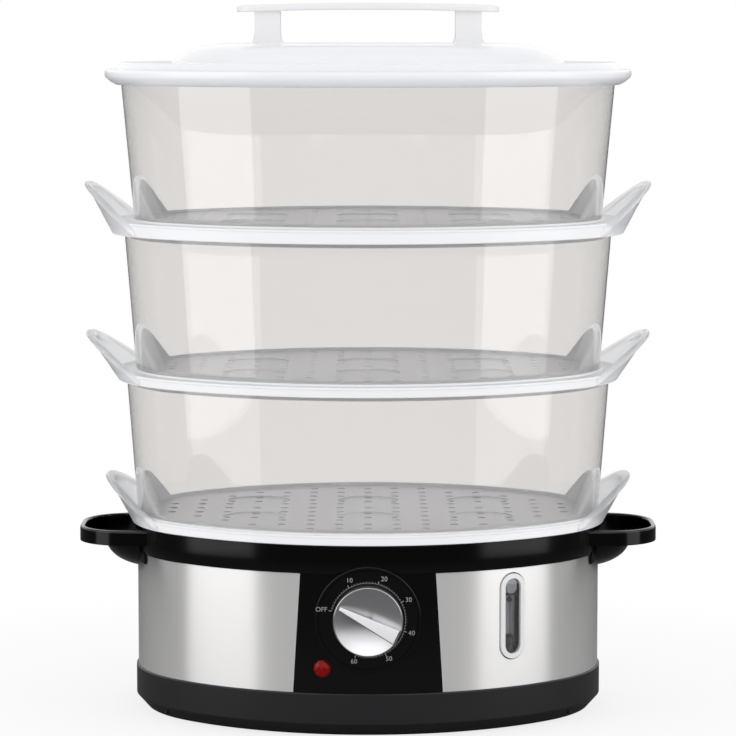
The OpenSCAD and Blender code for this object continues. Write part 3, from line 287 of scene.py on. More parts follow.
# The finish of each of the frame's nodes.
NODE_FINISHES: tuple[tuple[Plastic | Metal, str], ...] = (
    (HOUSING, "housing inner_shell"), (UNDERSIDE, "bottom_plate"), (FOOT_RUBBER, "feet cord_gland"),
    (ZINC, "bottom_screws heater_clamp heater_screws timer_screws timer_shaft handle_screws"),
    (BRUSHED_STEEL, "steel_wrap"), (GLOSS_BLACK, "rim_band fill_handles"), (TANK_BLACK, "water_tank"),
    (HEATER_ALLOY, "heater"), (SILICONE_RED, "heater_gasket"), (BRASS, "thermostat"),
    (CERAMIC, "thermal_fuse lamp_holder"), (PHENOLIC, "terminal_block timer_body"),
    (WIRE_SLEEVE, "wiring"), (KNOB_METAL, "timer_knob"), (PANEL_BLACK, "control_panel"),
    (DIAL_BLACK, "dial_plate"), (LAMP_RED, "lamp_lens"), (CLEAR_GAUGE, "gauge_window"),
    (GAUGE_GREY, "gauge_channel"), (FLOAT_DARK, "gauge_float"), (SILICONE_HOSE, "gauge_hoses"),
    (TRAY_WHITE, "steam_ring drip_tray tray_1 tray_2 tray_3"), (CLEAR_WALL, "wall_1 wall_2 wall_3"),
    (LID_WHITE, "lid"), (HANDLE_WHITE, "lid_handle"),
)


@dataclass
class Finishes:
    """Each finish as a material that is built once."""

    made: dict[str, bpy.types.Material] = field(default_factory=dict)

    def get(self, finish: Plastic | Metal) -> bpy.types.Material:
        """Find a finish's material, building it the first time.

        Args:
            finish: The finish.

        Returns:
            Its material.
        """
        if finish.name not in self.made:
            self.made[finish.name] = finish.material()
        return self.made[finish.name]


FINISHES = Finishes()


# ---------- Meshes ----------


@dataclass(frozen=True)
class Dress:
    """What a finished piece is called, carried by, painted as and stands for."""

    name: str
    body: str
    slot: str
    finish: Plastic | Metal
    stands_for: tuple[str, ...] = ()

    def put_on(self, mesh: bpy.types.Mesh, crease: float) -> bpy.types.Object:
        """Make a mesh in metres an object of the part.

        Args:
            mesh: The mesh, in its place.
            crease: Angle in degrees past which an edge stays sharp.

        Returns:
            The new object.
        """
        mesh.shade_smooth()
        mesh.set_sharp_from_angle(angle=math.radians(crease))
        mesh.materials.append(FINISHES.get(self.finish))
        piece = bpy.data.objects.new(self.name, mesh)
        bpy.context.scene.collection.objects.link(piece)
        piece.modifiers.new("even shading", "WEIGHTED_NORMAL").keep_sharp = True
        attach(piece, self.body)
        if self.stands_for:
            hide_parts(*self.stands_for)
        LOG.info("%s: %d faces", self.name, len(mesh.polygons))
        return piece


def verts_of(items: Iterable[object]) -> list[BMVert]:
    """Return the vertices among the items that an operator gives back."""
    return [item for item in items if isinstance(item, BMVert)]


class Shape:
    """A mesh in the making, in millimetres."""

    def __init__(self) -> None:
        """Start with an empty mesh."""
        self.bm = bmesh.new()

    def everything(self) -> list[BMVert | BMEdge | BMFace]:
        """Return all vertices, edges and faces."""
        return self.bm.verts[:] + self.bm.edges[:] + self.bm.faces[:]

    def lathe(self, profile: Profile, centre: Vector, axis: Vector, steps: int = 96) -> None:
        """Turn a profile all the way round an axis.

        Args:
            profile: Points as (radius, distance along the axis).
            centre: Where the axis starts.
            axis: The direction of the axis.
            steps: Number of steps round.
        """
        square = axis.orthogonal().normalized()
        verts = [self.bm.verts.new(centre + square * r + axis * along) for r, along in profile]
        edges = [self.bm.edges.new(pair) for pair in zip(verts, verts[1:])]
        bmesh.ops.spin(self.bm, geom=verts + edges, cent=centre, axis=axis, angle=math.tau,
                       steps=steps, use_merge=True)

    def plate(self, across: int, along: int, place: Callable[[float, float, float], Vector]) -> None:
        """Bend a thin block of cells into place.

        Args:
            across: Number of cells in the first direction.
            along: Number of cells in the second direction.
            place: Gives a corner's place from its three fractions.
        """
        low = bmesh.ops.create_grid(self.bm, x_segments=across, y_segments=along, size=0.5)["verts"]
        faces = list({face for vert in low for face in vert.link_faces})
        high = verts_of(bmesh.ops.extrude_face_region(self.bm, geom=faces, use_keep_orig=True)["geom"])
        for vert in high:
            vert.co.z = 1.0
        for vert in low + high:
            vert.co = place(vert.co.x + 0.5, vert.co.y + 0.5, vert.co.z)

    def pull(self, faces: list[BMFace], by: Vector) -> list[BMFace]:
        """Extrude faces and move what is new.

        Args:
            faces: The faces.
            by: How far the new ones move.

        Returns:
            The new faces.
        """
        made = bmesh.ops.extrude_face_region(self.bm, geom=faces)["geom"]
        bmesh.ops.translate(self.bm, vec=by, verts=verts_of(made))
        return [item for item in made if isinstance(item, BMFace)]

    def soften(self, width: float, angle: float = 28.0, segments: int = 3,
               keep: Callable[[BMEdge], bool] = lambda edge: True) -> None:
        """Round the sharp edges.

        Args:
            width: Width of the rounding.
            angle: Least angle in degrees between the faces of an edge that is rounded.
            segments: Number of strips in the rounding.
            keep: Tells which of the sharp edges are rounded.
        """
        self.merge()
        sharp = [e for e in self.bm.edges if len(e.link_faces) == 2
                 and e.calc_face_angle(0.0) > math.radians(angle) and keep(e)]
        bmesh.ops.bevel(self.bm, geom=sharp, offset=width, offset_type="OFFSET", segments=segments,
                        profile=0.5, affect="EDGES", clamp_overlap=True, material=-1)

    def merge(self) -> None:
        """Join the vertices that meet and turn the faces outwards."""
        bmesh.ops.remove_doubles(self.bm, verts=self.bm.verts[:], dist=MEETING)
        bmesh.ops.recalc_face_normals(self.bm, faces=self.bm.faces[:])

    def take_in(self, other: BMesh) -> None:
        """Add another mesh and free it.

        Args:
            other: The mesh.
        """
        mesh = bpy.data.meshes.new("part of a piece")
        other.to_mesh(mesh)
        other.free()
        self.bm.from_mesh(mesh)
        bpy.data.meshes.remove(mesh)

    def finish(self, dress: Dress, crease: float = 32.0) -> bpy.types.Object:
        """Turn the mesh to metres and make it an object of the part.

        Args:
            dress: The piece's name, body, slot, finish and the nodes it stands for.
            crease: Angle in degrees past which an edge stays sharp.

        Returns:
            The new object.
        """
        self.merge()
        bmesh.ops.transform(self.bm, matrix=Matrix.Scale(MM, 4), verts=self.bm.verts[:])
        mesh = bpy.data.meshes.new(dress.name)
        self.bm.to_mesh(mesh)
        self.bm.free()
        return dress.put_on(mesh, crease)


def eased(points: Profile, rounds: int = 2) -> list[Point]:
    """Soften an open line of points by cutting its corners, with its ends kept.

    Args:
        points: The line.
        rounds: Number of times the corners are cut.

    Returns:
        The softened line.
    """
    line = list(points)
    for _ in range(rounds):
        cut = [line[0]]
        for (x0, y0), (x1, y1) in zip(line, line[1:]):
            cut += [(0.75 * x0 + 0.25 * x1, 0.75 * y0 + 0.25 * y1),
                    (0.25 * x0 + 0.75 * x1, 0.25 * y0 + 0.75 * y1)]
        line = cut + [line[-1]]
    return line


def circle_points(x: float, y: float, radius: float, count: int) -> list[Point]:
    """Return the points of a circle."""
    return [(x + radius * math.cos(math.tau * i / count), y + radius * math.sin(math.tau * i / count))
            for i in range(count)]


@dataclass(frozen=True)
class Arc:
    """One arc of the oval, run anticlockwise."""

    x: float
    y: float
    radius: float
    start: float
    angle: float
    steps: int

    def point(self, at: float, turn: float, z: float = 0.0) -> Vector:
        """Place a point by its offset, its angle past the arc's start and its height."""
        radius, angle = self.radius + at, self.start + turn
        return Vector((self.x + radius * math.cos(angle), self.y + radius * math.sin(angle), z))


@dataclass(frozen=True)
class Oval:
    """The outline of four arcs that every ring of the steamer follows."""

    end_c: float = 52.0
    end_r: float = 82.0
    side_d: float = 57.6
    side_r: float = 159.6
    end_steps: int = 40
    side_steps: int = 36

    @property
    def join(self) -> float:
        """Direction of the normal where an end arc meets a side arc, in radians."""
        return math.atan2(self.side_d, self.end_c)

    @property
    def arcs(self) -> tuple[Arc, ...]:
        """The right end, the back, the left end and the front."""
        join, wide, narrow = self.join, 2 * self.join, math.pi - 2 * self.join
        return (Arc(self.end_c, 0, self.end_r, -join, wide, self.end_steps),
                Arc(0, -self.side_d, self.side_r, join, narrow, self.side_steps),
                Arc(-self.end_c, 0, self.end_r, math.pi - join, wide, self.end_steps),
                Arc(0, self.side_d, self.side_r, math.pi + join, narrow, self.side_steps))

    def sweep(self, shape: Shape, profile: Profile) -> None:
        """Sweep a closed profile round the whole oval.

        Args:
            shape: The mesh that gets the sweep.
            profile: The profile's points as (offset, height).
        """
        verts = [shape.bm.verts.new(self.arcs[0].point(at, 0.0, z)) for at, z in profile]
        last = verts + [shape.bm.edges.new(pair) for pair in zip(verts, verts[1:] + verts[:1])]
        for arc in self.arcs:
            last = bmesh.ops.spin(shape.bm, geom=last, cent=(arc.x, arc.y, 0), axis=(0, 0, 1),
                                  angle=arc.angle, steps=arc.steps)["geom_last"]
        bmesh.ops.remove_doubles(shape.bm, verts=shape.bm.verts[:], dist=MEETING)

    def end_sweep(self, shape: Shape, profile: Profile, half_turn: float, side: Side,
                  steps: int = 24) -> None:
        """Sweep a closed profile along part of one end arc.

        Args:
            shape: The mesh that gets the sweep.
            profile: The profile's points as (offset, height).
            half_turn: Half of the arc's angle in degrees.
            side: Which end.
            steps: Number of steps.
        """
        half = math.radians(half_turn)
        start = (0.0 if side is Side.RIGHT else math.pi) - half
        arc = Arc(side.value * self.end_c, 0, self.end_r, start, 2 * half, steps)
        face = shape.bm.faces.new([shape.bm.verts.new(arc.point(at, 0.0, z)) for at, z in profile])
        bmesh.ops.spin(shape.bm, geom=[face], cent=(arc.x, 0, 0), axis=(0, 0, 1), angle=arc.angle,
                       steps=steps)

    def end_point(self, side: Side, at: float, y: float, z: float) -> Vector:
        """Place a point on an end arc by its offset and its distance from the middle."""
        radius = self.end_r + at
        return Vector((side.value * (self.end_c + math.sqrt(radius * radius - y * y)), y, z))

    def outline(self, at: float) -> list[Point]:
        """Return the oval at an offset as points, anticlockwise from the right end arc's start."""
        return [arc.point(at, arc.angle * i / arc.steps)[:2] for arc in self.arcs for i in range(arc.steps)]

    def offset_of(self, x: float, y: float) -> float:
        """Measure how far a point lies outside the oval.

        Args:
            x: The point's place along the oval.
            y: The point's place across it.

        Returns:
            The distance, negative inside the oval.
        """
        ax, ay = abs(x), abs(y)
        if ax > self.end_c and math.atan2(ay, ax - self.end_c) < self.join:
            return math.hypot(ax - self.end_c, ay) - self.end_r
        return math.hypot(ax, ay + self.side_d) - self.side_r


OVAL = Oval()


def meshed(curve: bpy.types.Curve) -> BMesh:
    """Turn a curve or a text into a mesh and remove it.

    Args:
        curve: The curve or text.

    Returns:
        The mesh.
    """
    drawn = bpy.data.objects.new(curve.name, curve)
    bpy.context.scene.collection.objects.link(drawn)
    mesh = bpy.data.meshes.new_from_object(drawn)
    bpy.data.objects.remove(drawn)
    bpy.data.curves.remove(curve)
    made = bmesh.new()
    made.from_mesh(mesh)
    bpy.data.meshes.remove(mesh)
    return made


def pierced(name: str, outline: Profile, holes: Iterable[Profile], low: float, high: float) -> BMesh:
    """Make a flat plate with holes.

    Args:
        name: A name for the curve that the plate is filled from.
        outline: The plate's outline.
        holes: The outlines of its holes.
        low: Height of its lower face.
        high: Height of its upper face.

    Returns:
        The plate's mesh.
    """
    curve = bpy.data.curves.new(name, "CURVE")
    curve.dimensions = "2D"
    curve.fill_mode = "BOTH"
    curve.extrude = (high - low) / 2
    for loop in [outline, *holes]:
        line = curve.splines.new("POLY")
        line.points.add(len(loop) - 1)
        for point, (x, y) in zip(line.points, loop):
            point.co = (x, y, 0, 1)
        line.use_cyclic_u = True
    plate = meshed(curve)
    bmesh.ops.translate(plate, vec=(0, 0, (high + low) / 2), verts=plate.verts[:])
    return plate


def text_plate(words: str, size: float, thick: float) -> BMesh:
    """Make plain flat letters, centred on the origin and facing up.

    Args:
        words: What they say.
        size: The letters' size.
        thick: Their thickness.

    Returns:
        The letters' mesh.
    """
    curve = bpy.data.curves.new("dial number", "FONT")
    curve.body = words
    curve.size = size
    curve.align_x = curve.align_y = "CENTER"
    curve.extrude = thick / 2
    curve.resolution_u = 3
    return meshed(curve)


# ---------- Pieces ----------


def dress_nodes(nodes: dict[str, bpy.types.Object]) -> None:
    """Give every frame node its finish, also those that a finer piece stands for.

    Args:
        nodes: The frame's nodes by name.
    """
    for finish, names in NODE_FINISHES:
        for name in names.split():
            mesh = nodes[name].data
            mesh.materials.clear()
            mesh.materials.append(FINISHES.get(finish))
            LOG.info("%s: %s", name, finish.name)


@dataclass
class SteelBand:
    """The brushed steel sheet round the base, open behind the panel and round the gauge."""

    out: float = -1.4
    thickness: float = 0.8
    panel_edge: float = 36.4
    gauge_s: float = 83.99
    gauge_z: float = 65.1
    slot_half: float = 8.4
    slot_straight: float = 16.1
    opened_half: float = 12.0
    near_slot: float = 16.0
    slot_cuts: int = 3
    columns: int = 165
    rows: tuple[float, ...] = (23.9, 30.5, 37.0, 44.0, 51.0, 58.0, 65.1, 72.0, 79.0, 86.0, 90.6, 91.9)

    def length(self) -> float:
        """Return the band's length once round the oval."""
        return sum(arc.angle * (arc.radius + self.out) for arc in OVAL.arcs)

    def wrapped(self, s: float, z: float) -> Vector:
        """Place a point of the band's outside by its distance round it.

        Args:
            s: Distance anticlockwise from the front's middle.
            z: Height.

        Returns:
            The point.
        """
        half_front = (math.pi / 2 - OVAL.join) * (OVAL.side_r + self.out)
        left = (s - half_front) % self.length()
        for arc in OVAL.arcs:
            radius = arc.radius + self.out
            if left <= arc.angle * radius:
                break
            left -= arc.angle * radius
        return arc.point(self.out, left / radius, z)

    def build(self) -> None:
        """Cut the sheet flat, open its slot, wrap it and dress it."""
        shape = Shape()
        bm = shape.bm
        last = len(self.rows) - 1
        bmesh.ops.create_grid(bm, x_segments=self.columns, y_segments=last, size=0.5)
        run = self.length() - 2 * self.panel_edge
        for vert in bm.verts:
            row = self.rows[round((vert.co.y + 0.5) * last)]
            vert.co = Vector((self.panel_edge + (vert.co.x + 0.5) * run, row, 0))
        block = [f for f in bm.faces if abs(f.calc_center_median().x - self.gauge_s) < self.opened_half
                 and self.rows[2] < f.calc_center_median().y < self.rows[-2]]
        bmesh.ops.delete(bm, geom=block, context="FACES")
        rim = [e for e in bm.edges if e.is_boundary
               and all(abs(v.co.x - self.gauge_s) < self.near_slot
                       and self.rows[1] < v.co.y < self.rows[-1] - 0.1 for v in e.verts)]
        rim = [g for g in bmesh.ops.subdivide_edges(bm, edges=rim, cuts=self.slot_cuts)["geom_split"]
               if isinstance(g, BMEdge) and g.is_boundary]
        for vert in verts_of(bmesh.ops.extrude_edge_only(bm, edges=rim)["geom"]):
            x, y = vert.co.x - self.gauge_s, vert.co.y - self.gauge_z
            straight = max(-self.slot_straight, min(self.slot_straight, y))
            away = Vector((x, y - straight, 0)).normalized() * self.slot_half
            vert.co = Vector((self.gauge_s, self.gauge_z + straight, 0)) + away
        bmesh.ops.triangulate(bm, faces=[f for f in bm.faces if len(f.verts) > 4])
        for vert in bm.verts:
            vert.co = self.wrapped(vert.co.x, vert.co.y)
        shape.merge()
        bmesh.ops.solidify(bm, geom=bm.faces[:], thickness=self.thickness)
        shape.finish(Dress("steel_band", "base", "steel_wrap", BRUSHED_STEEL, ("steel_wrap",)))


@dataclass
class RimBand:
    """The black gloss rim with its fill handles, their bowls and the aprons under them."""

    foot: float = 91.9
    top: float = 107.9
    reach: float = 165.2
    half: float = 37.0
    corner: float = 28.0
    corner_steps: int = 14
    wall: float = 3.0
    sunk: float = -2.0
    lap: float = 0.1
    handle_low: float = 97.6
    handle_high: float = 106.1
    pocket: float = 99.1
    bowl_r: float = 27.0
    bowl_deep: float = 16.0
    bowl_x: float = 124.0
    bowl_z: float = 97.0
    bowl_from: float = 130.0
    apron: Profile = ((-1.3, 86.4), (-0.6, 86.4), (-0.2, 87.2), (-0.2, 93.9), (-1.3, 93.9))
    apron_half: float = 23.1
    window_half: float = 20.4
    window_past: float = 100.0
    window: Point = (99.1, 104.6)

    def build(self) -> None:
        """Build the band and both handles."""
        self.band()
        for side in Side:
            self.handle(side)

    def band(self) -> None:
        """Sweep the band and open its two fill windows."""
        shape = Shape()
        low, high = self.window
        OVAL.sweep(shape, [
            (-0.9, self.foot), (-0.3, 93.9), (0, low), (0, high), (0, self.top - 0.7),
            (-0.7, self.top), (-3.4, self.top), (-4, self.top - 0.6), (-4, high), (-4, low),
            (-4, 96.9), (-6.5, 96.9), (-6.5, 94.9), (-4, 92.0), (-4, self.foot)])
        shape.merge()
        bm = shape.bm
        middles = {f: f.calc_center_median() for f in bm.faces}
        gone = [f for f, at in middles.items() if low < at.z < high
                and abs(at.y) < self.window_half and abs(at.x) > self.window_past]
        bmesh.ops.delete(bm, geom=gone, context="FACES")
        for side in Side:
            edges = [e for e in bm.edges if e.is_boundary and e.verts[0].co.x * side.value > 0]
            bmesh.ops.bridge_loops(bm, edges=edges)
        shape.soften(0.35)
        shape.finish(Dress("rim_band_ring", "base", "rim_band", GLOSS_BLACK, ("rim_band",)))

    def handle(self, side: Side) -> None:
        """Build one handle: its wall, its floor, the bowl under it and the apron.

        Args:
            side: Which end.
        """
        shape = Shape()
        turned = Matrix.Scale(side.value, 4, (1, 0, 0))
        self.handle_wall(shape, turned)
        inset = self.lap - self.wall
        inner, bend, tip = self.half + inset, self.corner + inset, self.reach + inset
        under = self.handle_low + 0.02

        def floor(u: float, v: float, w: float) -> Vector:
            """Place a corner of the pocket's floor.

            Args:
                u: Fraction across the handle.
                v: Fraction from the rim to the tip.
                w: Fraction of the thickness.

            Returns:
                The corner's place.
            """
            y = (2 * u - 1) * inner
            past = abs(y) - (inner - bend)
            end = tip - bend + math.sqrt(max(0.0, bend * bend - past * past)) if past > 0 else tip
            root = OVAL.end_point(Side.RIGHT, self.sunk, y, 0).x
            return turned @ Vector((root + (end - root) * v, y, under + w * (self.pocket - under)))

        shape.plate(48, 8, floor)
        shape.merge()
        self.bowl(shape, side)
        OVAL.end_sweep(shape, self.apron, self.apron_half, side)
        shape.finish(Dress(f"fill_handle_{side.name.lower()}", "base", "rim_band", GLOSS_BLACK,
                           ("fill_handles",)))

    def bowl(self, shape: Shape, side: Side) -> None:
        """Hang the bowl under the handle, cut off above the handle's floor and inside the rim.

        Args:
            shape: The mesh that gets the bowl.
            side: Which end.
        """
        bm = shape.bm
        bowl = bmesh.ops.create_uvsphere(bm, u_segments=96, v_segments=64, radius=self.bowl_r)["verts"]
        bmesh.ops.scale(bm, vec=(1, 1, self.bowl_deep / self.bowl_r), verts=bowl)
        bmesh.ops.translate(bm, vec=(side.value * self.bowl_x, 0, self.bowl_z), verts=bowl)
        for spot, away in ((Vector((0, 0, self.handle_low + 0.2)), Vector((0, 0, 1))),
                           (Vector((side.value * self.bowl_from, 0, 0)), Vector((-side.value, 0, 0)))):
            faces = list({f for v in bowl if v.is_valid for f in v.link_faces})
            corners, edges = {v for f in faces for v in f.verts}, {e for f in faces for e in f.edges}
            bmesh.ops.bisect_plane(bm, geom=[*corners, *edges, *faces], plane_co=spot, plane_no=away,
                                   clear_outer=True)

    def handle_wall(self, shape: Shape, turned: Matrix) -> None:
        """Run the handle's wall out from the rim, round its two corners and back.

        Args:
            shape: The mesh that gets the wall.
            turned: Turns the right end's shape to the side that is built.
        """
        bm = shape.bm
        root = OVAL.end_point(Side.RIGHT, self.sunk, self.half, 0).x
        bend, middle = self.reach - self.corner, self.half - self.corner
        top, low, wall = self.handle_high, self.handle_low, self.wall
        section = [(0, low), (0, top - 1.4), (0.15, top - 0.7), (0.55, top - 0.2), (1.2, top),
                   (1.8, top), (2.45, top - 0.2), (2.85, top - 0.7), (wall, top - 1.4), (wall, low)]
        last = [bm.faces.new([bm.verts.new((root, -self.half + inward, z)) for inward, z in section])]
        for move, corner in ((Vector((bend - root, 0, 0)), Vector((bend, -middle, 0))),
                             (Vector((0, 2 * middle, 0)), Vector((bend, middle, 0))),
                             (Vector((root - bend, 0, 0)), None)):
            pulled = shape.pull(last, move)
            bmesh.ops.delete(bm, geom=last, context="FACES_ONLY")
            last = pulled
            if corner is not None:
                made = bmesh.ops.spin(bm, geom=last, cent=corner, axis=(0, 0, 1), angle=math.pi / 2,
                                      steps=self.corner_steps)
                last = [g for g in made["geom_last"] if isinstance(g, BMFace)]
        bmesh.ops.transform(bm, matrix=turned, verts=bm.verts[:])
        shape.merge()


@dataclass
class Tier:
    """One tier: its white tray with wings and fins, and its clear wall."""

    number: int
    low: float
    floor: float
    out: float
    ring_in: float
    under: float
    foot: float
    wall_top: float
    wall_high: float
    wing_tip: float
    ribs_down: float
    wall: float = 2.2
    wall_gap: float = 0.5
    floor_t: float = 2.4
    skin: float = 0.02
    hole_r: float = 2.6
    hole_margin: float = 10.0
    pitch: float = 16.0
    hole_columns: int = 8
    hole_rows: int = 6
    egg_r: float = 18.0
    egg_deep: float = 0.9
    wing_rise: float = 20.6
    wing_r: float = 68.0
    wing_t: float = 2.1
    wing_bead: float = 4.6
    wing_blunt: float = 2.5
    fin_rise: float = 21.5
    fin_r: float = 50.0
    fin_t: float = 1.6
    fin_bead: float = 2.8
    fin_blunt: float = 1.9

    @property
    def seat_in(self) -> float:
        """Offset of the rib that locates the clear wall from inside."""
        return self.foot - self.wall - self.wall_gap

    @property
    def roof(self) -> float:
        """Height of the floor's underside."""
        return self.floor - self.floor_t

    def build(self) -> None:
        """Build the tray and its wall."""
        self.ring()
        self.floor_plate()
        for side in Side:
            self.wing(side)
            self.fin(side)
        self.clear_wall()

    def dress(self, part: str, finish: Plastic = TRAY_WHITE) -> Dress:
        """Return the dress of a part of the tray."""
        node = f"tray_{self.number}"
        return Dress(f"{node}_{part}", node, "trays", finish, (node,))

    def ring(self) -> None:
        """Sweep the ring with its bead, and the ribs that locate it."""
        shape = Shape()
        fl, out, roof, seat = self.floor, self.out, self.roof, self.seat_in
        OVAL.sweep(shape, [
            (self.ring_in, self.low), (out - 0.5, self.low), (out, self.low + 0.5), (out, fl - 2.3),
            (out + 0.8, fl - 2), (out + 0.8, fl - 1.1), (out + 0.3, fl - 0.7), (out - 0.9, fl - 0.7),
            (out - 1.4, fl - 1.1), (self.foot + 1.6, fl - 1.1), (self.foot + 1.2, fl),
            (seat - 6, fl), (seat - 6, roof), (self.ring_in, roof)])
        shape.soften(0.25, segments=2)
        rib, end = self.under - self.wall_gap, self.low - self.ribs_down
        OVAL.sweep(shape, [(rib, roof + 1), (rib, end + 0.6), (rib - 0.6, end), (rib - 1.8, end),
                           (rib - 1.8, roof + 1)])
        OVAL.sweep(shape, [(seat - 1.6, fl - 0.5), (seat, fl - 0.5), (seat, fl + 1.2),
                           (seat - 0.4, fl + 1.6), (seat - 1.6, fl + 1.6)])
        shape.finish(self.dress("ring"))

    def floor_plate(self) -> None:
        """Cut the perforated floor and sink its six egg rests."""
        shape = Shape()
        edge = self.seat_in - self.hole_margin - self.hole_r
        holes = [(i * self.pitch, j * self.pitch)
                 for i in range(-self.hole_columns, self.hole_columns + 1)
                 for j in range(-self.hole_rows, self.hole_rows + 1)
                 if OVAL.offset_of(i * self.pitch, j * self.pitch) < edge]
        rests = [(x * 2 * self.pitch, y * 2 * self.pitch) for x in (-2, 0, 2) for y in (-1, 1)]
        held: dict[Optional[Point], list[Profile]] = {rest: [] for rest in [None, *rests]}
        for hole in holes:
            near = [rest for rest in rests if math.dist(rest, hole) < self.egg_r]
            held[near[0] if near else None].append(circle_points(*hole, self.hole_r, 16))
        wells = [circle_points(x, y, self.egg_r, 48) for x, y in rests]
        shape.take_in(pierced("tray floor", OVAL.outline(self.seat_in - 5.8), held[None] + wells,
                              self.roof + self.skin, self.floor - self.skin))
        for x, y in rests:
            shape.take_in(pierced("egg rest", circle_points(x, y, self.egg_r + 0.05, 48), held[x, y],
                                  self.roof + self.skin, self.floor - self.egg_deep))
        shape.finish(self.dress("floor"))

    def edged(self, depth: float, thick: float, bead: float) -> float:
        """Find a plate's thickness at a depth under its round beaded edge.

        Args:
            depth: Distance from the edge.
            thick: The plate's thickness.
            bead: The bead's thickness.

        Returns:
            The thickness there.
        """
        half, tip = bead / 2, 0.3
        if depth < half:
            return tip + (bead - tip) * math.sqrt(max(0.0, 1 - (1 - depth / half) ** 2))
        fall = min(1.0, (depth - half) / bead)
        return bead + (thick - bead) * fall * fall * (3 - 2 * fall)

    def round_plate(self, cells: tuple[int, int], low: float, top: float, height: float, radius: float,
                    blunt: float, place: Callable[[float, float, float], Vector]) -> Shape:
        """Bend an end plate with a round outline.

        Args:
            cells: Number of cells across and up.
            low: Height of its lower edge.
            top: Height of its tip.
            height: How far its outline falls from the tip to its ends.
            radius: Radius that gives its width.
            blunt: Power of the outline's curve: higher is squarer.
            place: Gives a corner's place from its distance from the middle, its height, its depth
                under the edge and the fraction of its thickness.

        Returns:
            The plate's mesh.
        """
        reach = math.sqrt(radius ** 2 - (radius - height) ** 2)

        def corner(u: float, v: float, w: float) -> Vector:
            """Place a corner of the plate.

            Args:
                u: Fraction across.
                v: Fraction up.
                w: Fraction of the thickness.

            Returns:
                The corner's place.
            """
            y = (2 * u - 1) * reach
            crest = top - height * abs(y / reach) ** blunt
            z = crest - (crest - low) * (1 - v) ** 2
            return place(y, z, crest - z, w)

        shape = Shape()
        shape.plate(*cells, corner)
        return shape

    def wing(self, side: Side) -> None:
        """Bend one wing: a flared end plate with a round outline and a thick round edge.

        Args:
            side: Which end.
        """
        low, top = self.low + 0.9, self.floor + self.wing_rise
        flare = (self.wing_tip + 0.6 - self.out) / (top - low)

        def place(y: float, z: float, depth: float, w: float) -> Vector:
            """Lean a corner of the wing outwards as it rises."""
            thick = self.edged(depth, self.wing_t, self.wing_bead)
            return OVAL.end_point(side, self.out - 1.0 + flare * (z - low) + (0.5 - w) * thick, y, z)

        shape = self.round_plate((48, 24), low, top, top - low - 2.0, self.wing_r, self.wing_blunt, place)
        shape.finish(self.dress(f"wing_{side.name.lower()}", WING_WHITE), crease=60)

    def fin(self, side: Side) -> None:
        """Bend one fin: an upright end plate inside the clear wall, with a beaded edge.

        Args:
            side: Which end.
        """
        low, top = self.floor - 0.3, self.floor + self.fin_rise

        def place(y: float, z: float, depth: float, w: float) -> Vector:
            """Keep a corner of the fin upright inside the wall."""
            thick = self.edged(depth, self.fin_t, self.fin_bead)
            return OVAL.end_point(side, self.seat_in - self.fin_bead / 2 + (0.5 - w) * thick, y, z)

        shape = self.round_plate((40, 18), low, top, top - low - 1.0, self.fin_r, self.fin_blunt, place)
        shape.finish(self.dress(f"fin_{side.name.lower()}"), crease=60)

    def clear_wall(self) -> None:
        """Sweep the clear wall."""
        shape = Shape()
        OVAL.sweep(shape, [(self.foot - self.wall, self.floor), (self.foot, self.floor),
                           (self.wall_top, self.wall_high), (self.wall_top - self.wall, self.wall_high)])
        shape.soften(0.4, segments=2)
        node = f"wall_{self.number}"
        shape.finish(Dress(f"clear_wall_{self.number}", node, "walls", CLEAR_WALL, (node,)))


